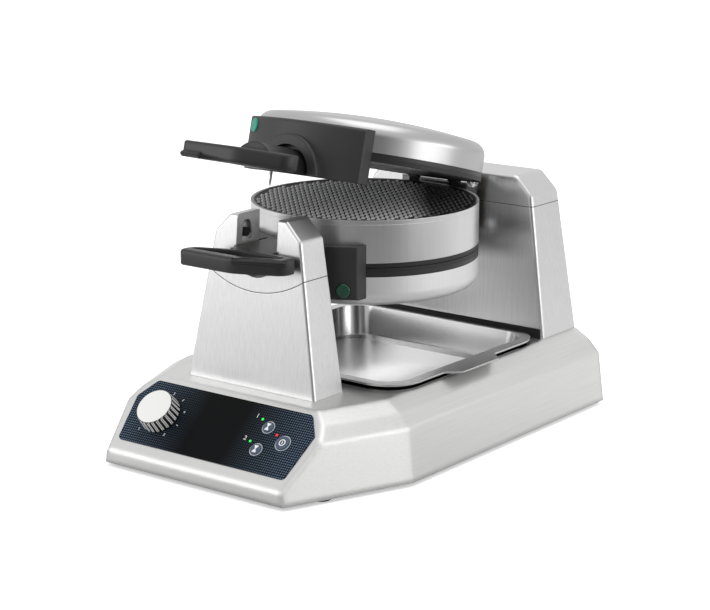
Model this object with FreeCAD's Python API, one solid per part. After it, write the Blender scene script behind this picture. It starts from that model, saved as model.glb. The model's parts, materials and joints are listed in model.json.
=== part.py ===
import FreeCAD, Part
import math
import os

# Double waffle cone maker: a rotor with two pairs of round grill plates turns over
# between a front column and a rear tower on a folded steel base.
# Units are millimetres, +Z is up, +X is to the right seen from the front and +Y is to the back.
# The pieces are drawn about the centre of the plates. At the end they move along Y,
# so that the origin lies on the table, at the middle of the machine's box.

os.makedirs("parts", exist_ok=True)
Vector = FreeCAD.Vector
X_AXIS = Vector(1, 0, 0)
Y_AXIS = Vector(0, 1, 0)
Z_AXIS = Vector(0, 0, 1)

# Fits
running_clearance = 0.05
seat_gap = 0.1
body_gap = 0.3
tiny = 0.05
overcut = 1.0
reach = 400.0

# Grill plates and the middle unit of the rotor
plate_radius = 92.0
plate_rim_height = 3.5
plate_rim_width = 2.6
plate_dip = 1.6
plate_spigot = 2.0
band_height = 30.0
sheet = 1.5
post_radius = 4.0
post_circle = 76.0
heater_circle = 56.0
heater_width = 9.0
heater_height = 5.0
heater_sweep = 330.0

# Lids, closed on the middle unit
lid_gap = 0.5
lid_ring_height = 7.0
lid_dish_height = 22.3
dish_crown = 8.0
dish_edge_radius = 11.0
lid_plate_thickness = 5.0
open_angle = 14.5

# Hinge at the back of the rotor
hinge_setback = 13.5
hinge_rise = 1.3
pin_radius = 3.0
pin_head_radius = 5.0
pin_head_length = 4.6
knuckle_radius = 8.5
centre_knuckle_half = 15.0
ear_width = 10.0
outer_knuckle_width = 7.2
hinge_side_play = 0.4
hinge_pad_thickness = 3.0
hinge_pad_gap = 1.0
ear_root_rise = 2.0
ear_flare = 2.0
ear_shoulder = 3.0
hinge_block_half = 11.2
hinge_block_reach = 6.5

# Front blocks, necks and handles of the lids
parting_gap = 0.5
block_clearance = 0.6
block_thickness = 9.4
block_half_width = 56.6
block_height = 42.3
block_edge_radius = 2.5
boss_radius = 31.0
boss_stand = 3.5
boss_recess_radius = 22.5
boss_recess_depth = 7.5
neck_radius = 19.6
handle_gap = 5.0
handle_depth = 29.5
handle_height = 13.0
handle_forward_end = 48.0
handle_near_end = 42.5
handle_front_turn = 4.0
handle_rear_turn = -10.0
handle_forward_width = 14.0
handle_near_width = 12.5
handle_front_bar = 8.0
handle_rear_bar = 5.0
handle_end_bar = 6.5
handle_slant_bar = 5.5
handle_edge_radius = 2.0
handle_front_corner = 3.5
handle_end_corner = 12.0
handle_near_corner = 3.0
slot_corner = 1.0
slot_near_corner = 1.5
finger_lip_stand = 2.6
finger_lip_height = 5.0
finger_lip_corner = 1.0
upper_lip_length = 19.0
lamp_radius = 5.6
lamp_x = 47.3
lamp_rise = 34.6
lamp_stand = 1.2
lamp_doming = 0.9
lamp_face_band = 0.6
lamp_depth = 6.0
guide_rod_radius = 1.3
guide_rod_stand = 5.0
guide_rod_length = 46.0
guide_lug_height = 6.0
block_screw_radius = 2.0
block_screw_head_ratio = 1.8
block_screw_head_depth = 1.2
block_screw_bite = 0.6
block_screw_x = 34.0

# Rotor shaft and its bearing in the tower
shaft_radius = 9.5
shaft_bore = 6.0
shaft_flange_radius = 12.0
shaft_flange_thickness = 3.0
bush_radius = 19.5
bush_length = 21.0
bush_flange_radius = 24.0
bush_flange_thickness = 3.0
collar_radius = 13.0
collar_thickness = 7.0
stop_pin_radius = 2.0
stop_pin_circle = 16.2
stop_pin_sink = 6.0
stop_travel = 180.0

# Height of the machine
foot_stand = 3.0
base_height = 59.0
swing_clearance = 15.5

# Drip tray and the well in the deck
tray_half_width = 101.0
tray_front_reach = 1.5
tray_rear_gap = 2.0
tray_corner_radius = 30.0
tray_rim_width = 8.0
tray_rim_rise = 5.0
tray_rim_thickness = 1.5
tray_sheet = 1.2
tray_depth = 25.0
tray_draft = 4.0
tray_tab_stand = 11.0
tray_tab_root = 70.0
tray_tab_tip = 51.0
tray_tab_radius = 3.0
tray_edge_overhang = 2.4
tray_seat_gap = 0.2
well_sheet = 1.0
deck_margin = 1.7

# Base shell
wall_lean = 5.7
wall_height = 41.3
shoulder_inset = 9.4
shoulder_rise = 9.6
brow_inset = 13.7
front_half_width = 88.0
side_corner_y = -110.2
lip_height = 10.6
panel_run_per_rise = 1.108
panel_ledge = 14.8
floor_sheet = 1.2
floor_lift = 0.5
floor_side_gap = 0.3
fold_radius = 2.0
foot_radius = 9.0
foot_taper = 1.0
foot_inset = 13.0
foot_side_step = 17.0
front_foot_y = 41.0
rear_foot_y = 22.0
screw_head_radius = 3.5
screw_head_height = 1.6
wire_hole_radius = 9.0

# Front column and its cradle cap
column_gap = 5.5
column_depth = 34.6
column_foot_half = 63.0
column_seam_z = 88.3
column_front_lean = 0.085
column_rear_lean = 0.02
cap_rise = 23.9
cap_flat_half = 27.5
cap_shoulder_half = 41.9
cap_shoulder_drop = 14.0
cap_corner_radius = 5.0
cap_seam_dip = 14.0
cap_bevel = 2.5
notch_side_gap = 0.3
liner_thickness = 2.0
buffer_window_half = 6.0
buffer_window_bottom = 3.0
buffer_window_cover = 5.9
buffer_window_narrowing = 0.7
buffer_window_rounding = 0.9
buffer_window_depth = 4.0
buffer_plate_thickness = 1.0
buffer_radius = 3.6
buffer_lift = 5.5

# Rear tower
tower_gap = 3.0
tower_depth = 50.3
tower_foot_half = 98.9
tower_cap_depth = 24.9
tower_rise = 27.3
tower_flat_half = 67.0
tower_shoulder_half = 82.2
tower_shoulder_drop = 15.5
tower_corner_radius = 8.0
tower_front_lean = 0.023
tower_rear_lean = 0.064
tower_bevel = 3.0

# Control panel, measured up the slope from its lower edge
overlay_thickness = 0.6
overlay_low = 10.8
overlay_high = 67.3
overlay_waist = 50.5
overlay_low_half = 82.0
overlay_waist_half = 88.0
overlay_high_half = 76.5
overlay_corner_radius = 4.0
knob_u = -54.9
knob_s = 38.5
knob_foot_radius = 16.4
knob_face_radius = 15.2
knob_height = 12.2
knob_lift = 0.4
knob_face_thickness = 1.6
knob_face_rim = 1.0
knob_rib_count = 24
knob_rib_radius = 0.9
knob_shaft_radius = 3.0
knob_shaft_length = 16.0
thermostat_radius = 11.0
thermostat_depth = 13.0
start_u = 45.2
start_high_s = 49.2
start_low_s = 29.3
start_radius = 4.6
power_u = 64.9
power_s = 39.2
power_radius = 5.7
button_stand = 1.2
button_travel = 0.8
button_stem_radius = 1.8
button_side_gap = 0.3
led_radius = 1.4
led_stand = 0.5
led_side_step = 8.9
led_up_step = 5.6
board_margin = 8.0
board_drop = 9.0
board_thickness = 1.6
switch_half = 3.0
spacer_radius = 2.6

# Pieces on the floor of the base and in its back wall
transformer_length = 54.0
transformer_depth = 42.0
transformer_height = 34.0
transformer_x = -48.0
terminal_length = 46.0
terminal_depth = 18.0
terminal_height = 16.0
terminal_x = 46.0
gland_radius = 11.0
gland_stand = 6.0
gland_bore = 4.5
gland_neck_radius = 8.0
gland_neck_length = 7.0
gland_nut_thickness = 4.0
gland_x = -70.0
gland_z = 24.0

# Heights and stations that follow from the sizes above
deck_z = foot_stand + base_height
axis_z = deck_z + plate_radius + swing_clearance
middle_half = band_height / 2 + plate_rim_height
lid_foot = middle_half + lid_gap
lid_seam = lid_foot + lid_ring_height
lid_top = lid_seam + lid_dish_height
hinge_y = plate_radius + hinge_setback
hinge_z = lid_foot + hinge_rise
ear_radius = knuckle_radius - body_gap
ear_inner_x = centre_knuckle_half + hinge_side_play
ear_outer_x = ear_inner_x + ear_width
outer_knuckle_x = ear_outer_x + hinge_side_play
hinge_half_width = outer_knuckle_x + outer_knuckle_width
block_inner = plate_radius + block_clearance
block_front = block_inner + block_thickness
boss_front_y = -(block_front + boss_stand)
neck_seat_y = boss_front_y + boss_recess_depth
notch_half = neck_radius + notch_side_gap
column_rear_y = boss_front_y - column_gap
column_front_y = column_rear_y - column_depth
axis_above_deck = axis_z - deck_z
cap_height = axis_above_deck + cap_rise
tower_height = axis_above_deck + tower_rise
tower_seam_z = tower_height - tower_cap_depth
buffer_window_height = cap_rise - buffer_window_bottom - buffer_window_cover
buffer_rise = buffer_window_bottom + buffer_lift
column_front_at_axis = column_front_y + column_front_lean * axis_above_deck
handle_rear_y = column_front_at_axis - handle_gap
handle_front_y = handle_rear_y - handle_depth
tower_front_y = hinge_y + knuckle_radius + tower_gap
tower_front_at_axis = tower_front_y + tower_front_lean * axis_above_deck
rear_y = tower_front_y + tower_depth
tray_front_y = -(plate_radius + tray_front_reach)
tray_rear_y = tower_front_y - tray_rear_gap
deck_half = tray_half_width - tray_edge_overhang + deck_margin
base_half = deck_half + brow_inset + shoulder_inset + wall_lean
panel_top_y = column_front_y - panel_ledge
front_y = panel_top_y - panel_run_per_rise * (base_height - lip_height)
panel_angle = math.degrees(math.atan2(1.0, panel_run_per_rise))
floor_top_z = foot_stand + floor_lift + floor_sheet
rim_top_z = deck_z + tray_rim_rise
tray_base_z = rim_top_z - tray_depth - tray_sheet
machine_shift = -(front_y + rear_y + gland_stand) / 2


def line_cross(a, b, c, d):
    """Point where the line through a and b meets the line through c and d."""
    ux, uy = b[0] - a[0], b[1] - a[1]
    vx, vy = d[0] - c[0], d[1] - c[1]
    along = ((c[0] - a[0]) * vy - (c[1] - a[1]) * vx) / (ux * vy - uy * vx)
    return (a[0] + along * ux, a[1] + along * uy)


def inset(points, distances):
    """Move each edge of a counter-clockwise outline inwards by its own distance."""
    lines = []
    for i, start in enumerate(points):
        end = points[(i + 1) % len(points)]
        length = math.hypot(end[0] - start[0], end[1] - start[1])
        nx = -(end[1] - start[1]) / length * distances[i]
        ny = (end[0] - start[0]) / length * distances[i]
        lines.append(((start[0] + nx, start[1] + ny), (end[0] + nx, end[1] + ny)))
    corners = []
    for i, line in enumerate(lines):
        before = lines[i - 1]
        corners.append(line_cross(before[0], before[1], line[0], line[1]))
    return corners


def outline_face(points, place, radii=None):
    """Flat face inside an outline, with a round corner where a radius is given."""
    radii = radii or [0.0] * len(points)
    corners = []
    for i, corner in enumerate(points):
        before, after = points[i - 1], points[(i + 1) % len(points)]
        back = Vector(before[0] - corner[0], before[1] - corner[1], 0).normalize()
        ahead = Vector(after[0] - corner[0], after[1] - corner[1], 0).normalize()
        at = Vector(corner[0], corner[1], 0)
        if radii[i] <= 0:
            corners.append((at, None, at))
            continue
        half = back.getAngle(ahead) / 2
        tangent = radii[i] / math.tan(half)
        middle = (back + ahead).normalize()
        centre = at + middle * (radii[i] / math.sin(half))
        corners.append((at + back * tangent, centre - middle * radii[i], at + ahead * tangent))
    edges = []
    for i, (start, crown, end) in enumerate(corners):
        if crown is not None:
            edges.append(Part.Arc(place(start), place(crown), place(end)).toShape())
        following = corners[(i + 1) % len(corners)][0]
        if end.distanceToPoint(following) > 1e-6:
            edges.append(Part.LineSegment(place(end), place(following)).toShape())
    return Part.Face(Part.Wire(edges))


def plan_prism(points, low, high, radii=None):
    """Solid with an outline in plan, from one height to another."""
    face = outline_face(points, lambda p: Vector(p.x, p.y, low), radii)
    return face.extrude(Vector(0, 0, high - low))


def front_prism(points, near, far, radii=None):
    """Solid with an outline seen from the front, between two depths."""
    face = outline_face(points, lambda p: Vector(p.x, near, p.y), radii)
    return face.extrude(Vector(0, far - near, 0))


def side_prism(points, half_width):
    """Solid with an outline seen from the side, the same to the left and to the right."""
    face = outline_face(points, lambda p: Vector(-half_width, p.x, p.y))
    return face.extrude(Vector(2 * half_width, 0, 0))


def turned(points):
    """Solid of revolution about the plates' axis from an outline of radius and height."""
    face = outline_face(points, lambda p: Vector(p.x, 0, p.y))
    return face.revolve(Vector(0, 0, 0), Z_AXIS, 360)


def rod(radius, start, end):
    """Round bar between two points."""
    return Part.makeCylinder(radius, (end - start).Length, start, end - start)


def along_x(radius, low, high, y, z):
    """Round bar from left to right."""
    return rod(radius, Vector(low, y, z), Vector(high, y, z))


def along_y(radius, near, far, x=0.0, z=0.0):
    """Round bar from front to back."""
    return rod(radius, Vector(x, near, z), Vector(x, far, z))


def along_z(radius, low, high, x, y):
    """Upright round bar."""
    return rod(radius, Vector(x, y, low), Vector(x, y, high))


def block(low, high):
    """Rectangular block between two opposite corners."""
    size = high - low
    return Part.makeBox(size.x, size.y, size.z, low)


def box_corners(half_width, near, far):
    """Counter-clockwise corners of a rectangle that is centred on x = 0."""
    return [(-half_width, near), (half_width, near), (half_width, far), (-half_width, far)]


def one_solid(shape):
    """The single solid inside the result of a cut or a fuse."""
    return shape.removeSplitter().Solids[0]


def group(shapes):
    """Separate solids that share one node."""
    return Part.makeCompound(shapes)


def softened(solid, radius, wanted):
    """Round the edges whose middle point is wanted."""
    edges = [edge for edge in solid.Edges if wanted(edge)]
    return solid.makeFillet(radius, edges)


def keep(name, shape, on_rotor=False):
    """Write one piece to its own file, in the machine's frame."""
    moved = shape.copy()
    moved.translate(Vector(0, machine_shift, axis_z if on_rotor else 0))
    moved.exportStep("parts/" + name + ".step")


# Base


def base_outline():
    """Plan of the base at the table: a rectangle whose front corners are cut off."""
    return [
        (-front_half_width, front_y),
        (front_half_width, front_y),
        (base_half, side_corner_y),
        (base_half, rear_y),
        (-base_half, rear_y),
        (-base_half, side_corner_y),
    ]


def base_profile():
    """Wall, shoulder, brow and deck of the base, as inset and height above the shell's edge."""
    shoulder_z = wall_height + shoulder_rise
    inside = wall_lean + shoulder_inset + brow_inset
    return [
        (0.0, 0.0),
        (inside + deck_half, 0.0),
        (inside + deck_half, base_height),
        (inside, base_height),
        (wall_lean + shoulder_inset, shoulder_z),
        (wall_lean, wall_height),
    ]


def panel_place(shape):
    """Lay a shape drawn flat, with u to the right, s to the back and n up, on the panel."""
    laid = shape.copy()
    laid.rotate(Vector(0, 0, 0), X_AXIS, panel_angle)
    laid.translate(Vector(0, front_y, foot_stand + lip_height))
    return laid


def base_body(skin):
    """Faceted block of the base; a skin thickness gives the hollow inside the folded sheet."""
    profile = inset(base_profile(), [-skin, 0.0, skin, skin, skin, skin])
    levels = [profile[0], profile[5], profile[4], profile[3]]
    wires = []
    for depth, height in levels:
        plan = inset(base_outline(), [skin, depth, depth, skin, depth, depth])
        face = outline_face(plan, lambda p: Vector(p.x, p.y, foot_stand + height))
        wires.append(face.OuterWire)
    body = Part.makeLoft(wires, True, True)
    ahead_of_panel = block(Vector(-reach, -reach, -skin), Vector(reach, reach, reach))
    return one_solid(body.cut(panel_place(ahead_of_panel)))


def panel_hole(u, s, radius):
    """Drill through the panel, square to it."""
    return panel_place(rod(radius, Vector(u, s, -2 * sheet), Vector(u, s, 2 * sheet)))


def led_places():
    """Centre of each indicator: both start lamps, then the power lamp."""
    buttons = [(start_u, start_high_s), (start_u, start_low_s), (power_u, power_s)]
    return [(u - led_side_step, s + led_up_step) for u, s in buttons]


def panel_holes():
    """Holes that the overlay and the panel share."""
    holes = [panel_hole(knob_u, knob_s, knob_shaft_radius + body_gap)]
    for s in (start_high_s, start_low_s):
        holes.append(panel_hole(start_u, s, start_radius + button_side_gap))
    holes.append(panel_hole(power_u, power_s, power_radius + button_side_gap))
    for u, s in led_places():
        holes.append(panel_hole(u, s, led_radius + seat_gap))
    return holes


def well_plan(extra=0.0):
    """Outline of the opening in the deck, wider by an extra margin."""
    half = tray_half_width - tray_edge_overhang + extra
    near = tray_front_y + tray_edge_overhang - extra
    far = tray_rear_y - tray_edge_overhang + extra
    return box_corners(half, near, far)


def well_corner(extra=0.0):
    return [tray_corner_radius - tray_edge_overhang + extra] * 4


def base_shell():
    shell = base_body(0.0)

    def is_fold(edge):
        box = edge.BoundBox
        above_edge = box.ZMin > foot_stand + overcut
        return (above_edge and box.YMax < rear_y - overcut) or (above_edge and box.YLength > base_height)

    shell = softened(shell, fold_radius, is_fold)
    shell = shell.cut(base_body(sheet))
    shell = shell.cut(plan_prism(well_plan(), deck_z - 2 * sheet, deck_z + sheet, well_corner()))
    column_middle = (column_front_y + column_rear_y) / 2
    tower_middle = (tower_front_y + rear_y) / 2
    for y in (column_middle, tower_middle):
        shell = shell.cut(along_z(wire_hole_radius, deck_z - 2 * sheet, deck_z + sheet, 0, y))
    gland_hole = along_y(gland_neck_radius, rear_y - 2 * sheet, rear_y + sheet, gland_x, gland_z)
    shell = shell.cut(gland_hole)
    return one_solid(shell.cut(group(panel_holes())))


def floor_plan():
    margin = sheet + floor_side_gap
    return inset(base_outline(), [margin] * 6)


def foot_places():
    """Centres of the rubber feet, front pair first."""
    front_half = front_half_width - foot_inset + foot_side_step - sheet
    rear_half = base_half - foot_inset - foot_side_step / 2
    return [
        (-front_half, front_y + front_foot_y),
        (front_half, front_y + front_foot_y),
        (-rear_half, rear_y - rear_foot_y),
        (rear_half, rear_y - rear_foot_y),
    ]


def base_floor():
    floor = plan_prism(floor_plan(), foot_stand + floor_lift, floor_top_z)
    holes = [along_z(screw_head_radius / 2, 0, deck_z / 2, x, y) for x, y in foot_places()]
    return one_solid(floor.cut(group(holes)))


def feet():
    """Rubber feet, dished underneath for the head of their screw."""
    made = []
    for x, y in foot_places():
        foot = Part.makeCone(foot_radius - foot_taper, foot_radius, foot_stand + floor_lift, Vector(x, y, 0))
        hollow = along_z(screw_head_radius + body_gap, 0, screw_head_height, x, y)
        stem = along_z(screw_head_radius / 2, 0, foot_stand + sheet, x, y)
        made.append(one_solid(foot.cut(hollow).cut(stem)))
    return group(made)


def foot_screws():
    """Screws that hold the feet, each with a nut on the floor."""
    made = []
    for x, y in foot_places():
        head_z = screw_head_height / 2
        head = along_z(screw_head_radius, head_z, screw_head_height, x, y)
        nut = along_z(screw_head_radius, floor_top_z, floor_top_z + screw_head_height, x, y)
        stem = along_z(screw_head_radius / 2, head_z, floor_top_z + 2 * screw_head_height, x, y)
        made.append(one_solid(head.fuse([nut, stem])))
    return group(made)


def tray_well():
    """Drawn pan under the deck that the drip tray stands in."""
    floor_z = tray_base_z - tray_seat_gap
    top_z = deck_z - sheet
    outside = plan_prism(well_plan(well_sheet), floor_z - well_sheet, top_z, well_corner(well_sheet))
    inside = plan_prism(well_plan(), floor_z, top_z + sheet, well_corner())
    return one_solid(outside.cut(inside))


def drip_tray():
    """Drawn tray with a flat rim, drafted walls and a pull tab on the right."""
    rim_face = box_corners(tray_half_width, tray_front_y, tray_rear_y)
    rim = plan_prism(rim_face, rim_top_z - tray_rim_thickness, rim_top_z, [tray_corner_radius] * 4)
    tab_middle = (tray_front_y + tray_rear_y) / 2 - tray_corner_radius / 5
    tab_x = tray_half_width + tray_tab_stand
    tab = [
        (tray_half_width - tray_rim_width / 2, tab_middle - tray_tab_root / 2),
        (tray_half_width, tab_middle - tray_tab_root / 2),
        (tab_x, tab_middle - tray_tab_tip / 2),
        (tab_x, tab_middle + tray_tab_tip / 2),
        (tray_half_width, tab_middle + tray_tab_root / 2),
        (tray_half_width - tray_rim_width / 2, tab_middle + tray_tab_root / 2),
    ]
    round_tip = [0.0, tray_tab_radius, tray_tab_radius, tray_tab_radius, tray_tab_radius, 0.0]
    rim = rim.fuse(plan_prism(tab, rim_top_z - tray_rim_thickness, rim_top_z, round_tip))

    def pan(skin, low, high):
        wires = []
        for height, draft in ((high, 0.0), (low, tray_draft)):
            inner = inset(rim_face, [tray_rim_width + draft + skin] * 4)
            corner = tray_corner_radius - tray_rim_width - skin
            face = outline_face(inner, lambda p: Vector(p.x, p.y, height), [corner] * 4)
            wires.append(face.OuterWire)
        return Part.makeLoft(wires, True, True)

    outside = pan(0.0, tray_base_z, rim_top_z - tray_rim_thickness / 2)
    hollow = pan(tray_sheet, tray_base_z + tray_sheet, rim_top_z + tray_rim_thickness)
    return one_solid(rim.fuse(outside).cut(hollow))


# Control panel


def control_overlay():
    half = [
        (overlay_low_half, overlay_low),
        (overlay_waist_half, overlay_waist),
        (overlay_high_half, overlay_high),
    ]
    points = half + [(-u, s) for u, s in reversed(half)]
    sheet_face = plan_prism(points, 0.0, overlay_thickness, [overlay_corner_radius] * 6)
    return one_solid(panel_place(sheet_face).cut(group(panel_holes())))


def panel_rod(u, s, radius, low, high):
    """Round bar square to the panel, between two heights over it."""
    return panel_place(rod(radius, Vector(u, s, low), Vector(u, s, high)))


def button(u, s, radius):
    """Push button with a domed cap and a stem down to its switch."""
    top = overlay_thickness + button_stand
    cap = rod(radius, Vector(u, s, -sheet), Vector(u, s, top))
    cap = softened(cap, button_stand / 2, lambda edge: edge.BoundBox.ZMin > top - tiny)
    stem_end = -board_drop + 2 * button_travel + running_clearance + board_thickness
    stem = rod(button_stem_radius, Vector(u, s, stem_end), Vector(u, s, 0))
    return panel_place(one_solid(cap.fuse(stem)))


def indicator(u, s):
    """Small lamp that stands a little out of the overlay."""
    top = overlay_thickness + led_stand
    lens = rod(led_radius, Vector(u, s, -sheet), Vector(u, s, top))
    return panel_place(softened(lens, led_stand, lambda edge: edge.BoundBox.ZMin > top - tiny))


def control_board():
    """Circuit board behind the buttons, with one small switch under each stem."""
    low_u = start_u - led_side_step - board_margin
    high_u = power_u + power_radius + board_margin
    low_s = start_low_s - start_radius - board_margin
    high_s = start_high_s + led_up_step + board_margin
    top = -board_drop
    board = block(Vector(low_u, low_s, top - board_thickness), Vector(high_u, high_s, top))
    switch_top = top + board_thickness + button_travel
    for u, s in ((start_u, start_high_s), (start_u, start_low_s), (power_u, power_s)):
        low = Vector(u - switch_half, s - switch_half, top)
        board = board.fuse(block(low, Vector(u + switch_half, s + switch_half, switch_top)))
    return panel_place(one_solid(board))


def board_spacers():
    """Posts that hang the circuit board from the back of the panel."""
    low_u = start_u - led_side_step - board_margin + spacer_radius
    high_u = power_u + power_radius + board_margin - spacer_radius
    low_s = start_low_s - start_radius - board_margin + spacer_radius
    high_s = start_high_s + led_up_step + board_margin - spacer_radius
    places = [(u, s) for u in (low_u, high_u) for s in (low_s, high_s)]
    return group([panel_rod(u, s, spacer_radius, -board_drop, -sheet) for u, s in places])


def thermostat():
    """Dial thermostat on the back of the panel, bored for the knob's shaft."""
    body = panel_rod(knob_u, knob_s, thermostat_radius, -sheet - thermostat_depth, -sheet)
    shaft_end = overlay_thickness + knob_lift - knob_shaft_length
    bore = panel_rod(knob_u, knob_s, knob_shaft_radius + running_clearance, shaft_end - body_gap, 0)
    return one_solid(body.cut(bore))


def knob_skirt():
    """Tapered knob with grip ribs and a shallow seat for its face."""
    low = overlay_thickness + knob_lift
    top = overlay_thickness + knob_height
    skirt = Part.makeCone(knob_foot_radius, knob_face_radius, top - low, Vector(knob_u, knob_s, low))
    for i in range(knob_rib_count):
        turn = 2 * math.pi * i / knob_rib_count
        rib_u = knob_u + knob_foot_radius * math.cos(turn)
        rib_s = knob_s + knob_foot_radius * math.sin(turn)
        lean_u = knob_u + knob_face_radius * math.cos(turn)
        lean_s = knob_s + knob_face_radius * math.sin(turn)
        groove = rod(knob_rib_radius, Vector(rib_u, rib_s, low), Vector(lean_u, lean_s, top))
        skirt = skirt.cut(groove)
    seat_radius = knob_face_radius - knob_rib_radius - knob_face_rim
    seat = along_z(seat_radius, top - knob_face_thickness, top, knob_u, knob_s)
    bore = along_z(knob_shaft_radius, low, top - 2 * knob_face_thickness, knob_u, knob_s)
    return panel_place(one_solid(skirt.cut(seat).cut(bore)))


def knob_face():
    top = overlay_thickness + knob_height
    radius = knob_face_radius - knob_rib_radius - knob_face_rim - seat_gap
    disc = along_z(radius, top - knob_face_thickness, top + seat_gap, knob_u, knob_s)
    return panel_place(disc)


def knob_shaft():
    low = overlay_thickness + knob_lift - knob_shaft_length
    top = overlay_thickness + knob_height - 2 * knob_face_thickness
    return panel_rod(knob_u, knob_s, knob_shaft_radius, low, top)


# Electrical pieces inside the base


def transformer():
    """Laminated core with its winding, on the floor behind the panel."""
    middle = (panel_top_y + column_rear_y) / 2
    low = Vector(transformer_x - transformer_length / 2, middle - transformer_depth / 2, floor_top_z)
    high = low + Vector(transformer_length, transformer_depth, transformer_height)
    core = block(low, high)
    window = Vector(transformer_length / 5, 0, transformer_height / 5)
    cut_low = low + window
    cut_high = high - window
    opened = core.cut(block(cut_low, cut_high))
    waist = Vector(0, transformer_depth / 8, 0)
    coil = block(cut_low + waist, cut_high - waist)
    return one_solid(opened.fuse(coil))


def terminal_block():
    """Row of screw terminals where the supply reaches the machine."""
    middle = (panel_top_y + column_rear_y) / 2
    low = Vector(terminal_x - terminal_length / 2, middle - terminal_depth / 2, floor_top_z)
    high = low + Vector(terminal_length, terminal_depth, terminal_height)
    body = block(low, high)
    ways = 4
    step = terminal_length / ways
    for way in range(ways):
        x = low.x + step * (way + 0.5)
        body = body.cut(along_z(step / 4, high.z - step / 3, high.z + overcut, x, middle))
    return one_solid(body)


def cord_gland():
    """Bushed inlet for the supply in the back wall, held by a nut inside."""
    back = Vector(gland_x, rear_y, gland_z)
    head = rod(gland_radius, back, back + Vector(0, gland_stand, 0))
    head = softened(head, gland_stand / 3, lambda edge: edge.BoundBox.YMin > rear_y + gland_stand - tiny)
    neck = rod(gland_neck_radius - seat_gap, back - Vector(0, gland_neck_length, 0), back)
    nut_back = back - Vector(0, sheet, 0)
    nut = rod(gland_radius, nut_back - Vector(0, gland_nut_thickness, 0), nut_back)
    bore = rod(gland_bore, back - Vector(0, reach / 8, 0), back + Vector(0, reach / 8, 0))
    return one_solid(head.fuse([neck, nut]).cut(bore))


# Front column


def column_envelope(skin):
    """Tapered column with the cradle's shoulders, before it is parted into column and cap."""
    top = deck_z + cap_height
    low = deck_z
    half = [
        (column_foot_half - skin, low),
        (cap_shoulder_half - skin, top - cap_shoulder_drop),
        (cap_flat_half, top - skin),
    ]
    radii = [0.0, cap_corner_radius, cap_corner_radius]
    front = half + [(-x, z) for x, z in reversed(half)]
    shape = front_prism(front, -reach, 0.0, radii + radii[::-1])
    lean_front = column_front_lean * cap_height
    lean_rear = column_rear_lean * cap_height
    side = [
        (column_front_y + skin, low),
        (column_rear_y - skin, low),
        (column_rear_y - skin + lean_rear, top),
        (column_front_y + skin + lean_front, top),
    ]
    return one_solid(shape.common(side_prism(side, reach)))


def seam_cutter():
    """Everything above the curved seam between the column and its cap."""
    taper = (column_foot_half - cap_shoulder_half) / (cap_height - cap_shoulder_drop)
    half, dip = column_foot_half - taper * column_seam_z, cap_seam_dip
    radius = (half * half + dip * dip) / (2 * dip)
    seam_z = deck_z + column_seam_z
    centre_z = seam_z - dip + radius
    barrel = rod(radius, Vector(0, -reach, centre_z), Vector(0, 0, centre_z))
    above = block(Vector(-reach, -reach, seam_z), Vector(reach, 0, seam_z + reach))
    return barrel.fuse(above)


def column_front_at(z):
    """Depth of the column's leaning front at a height."""
    return column_front_y + column_front_lean * (z - deck_z)


def bevelled_column():
    solid = column_envelope(0.0)

    def is_front_edge(edge):
        return all(abs(column_front_at(v.Z) - v.Y) < tiny for v in edge.Vertexes)

    def wanted(edge):
        return is_front_edge(edge) and edge.BoundBox.ZMax > deck_z + overcut

    return softened(solid, cap_bevel, wanted)


def front_column():
    shell = bevelled_column().cut(column_envelope(sheet))
    return one_solid(shell.cut(seam_cutter()))


def notch_plan(half):
    """U of the cradle, round about the rotor's axis and open to the top."""
    top = deck_z + cap_height + sheet
    side = block(Vector(-half, -reach, axis_z), Vector(half, 0, top))
    return side.fuse(rod(half, Vector(0, -reach, axis_z), Vector(0, 0, axis_z)))


def below_axis(half):
    return block(Vector(-half, -reach, deck_z), Vector(half, 0, axis_z))


def buffer_window(extra, depth):
    """Tombstone window in the inner face of the right horn."""
    x = notch_half
    y = (column_front_at_axis + column_rear_y) / 2
    half = buffer_window_half + extra
    low = axis_z + buffer_window_bottom - extra
    high = axis_z + buffer_window_bottom + buffer_window_height + extra
    narrow = half * buffer_window_narrowing
    points = [(y - half, low), (y + half, low), (y + narrow, high), (y - narrow, high)]
    round_top = [0.0, 0.0] + [narrow * buffer_window_rounding] * 2
    face = outline_face(points, lambda p: Vector(x - sheet, p.x, p.y), round_top)
    return face.extrude(Vector(depth + sheet, 0, 0))


def both_sides(shape):
    """A piece on the right and its mirror image on the left."""
    return [shape, shape.mirror(Vector(0, 0, 0), X_AXIS)]


def cradle_cap():
    """Solid cap with two horns and the round notch that the necks turn in."""
    cap = bevelled_column().common(seam_cutter())
    cap = cap.cut(notch_plan(notch_half))
    seat = rod(notch_half + liner_thickness, Vector(0, -reach, axis_z), Vector(0, 0, axis_z))
    cap = cap.cut(seat.common(below_axis(reach)))
    return one_solid(cap.cut(group(both_sides(buffer_window(0.0, buffer_window_depth)))))


def cradle_liner():
    """Half-round bearing strip in the bottom of the notch."""
    outer = notch_half + liner_thickness - seat_gap
    ring = rod(outer, Vector(0, -reach, axis_z), Vector(0, 0, axis_z))
    ring = ring.cut(rod(notch_half, Vector(0, -reach, axis_z), Vector(0, 0, axis_z)))
    lower = ring.common(below_axis(reach))
    envelope = column_envelope(sheet / 2)
    return one_solid(lower.common(envelope))


def buffer_plates():
    """Bright plates in the windows of the horns."""
    plate = buffer_window(-seat_gap, buffer_window_depth)
    far_x = notch_half + buffer_window_depth
    near_x = far_x - buffer_plate_thickness
    back_of_window = block(Vector(near_x, -reach, deck_z), Vector(far_x, 0, deck_z + reach))
    return group(both_sides(one_solid(plate.common(back_of_window))))


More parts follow.
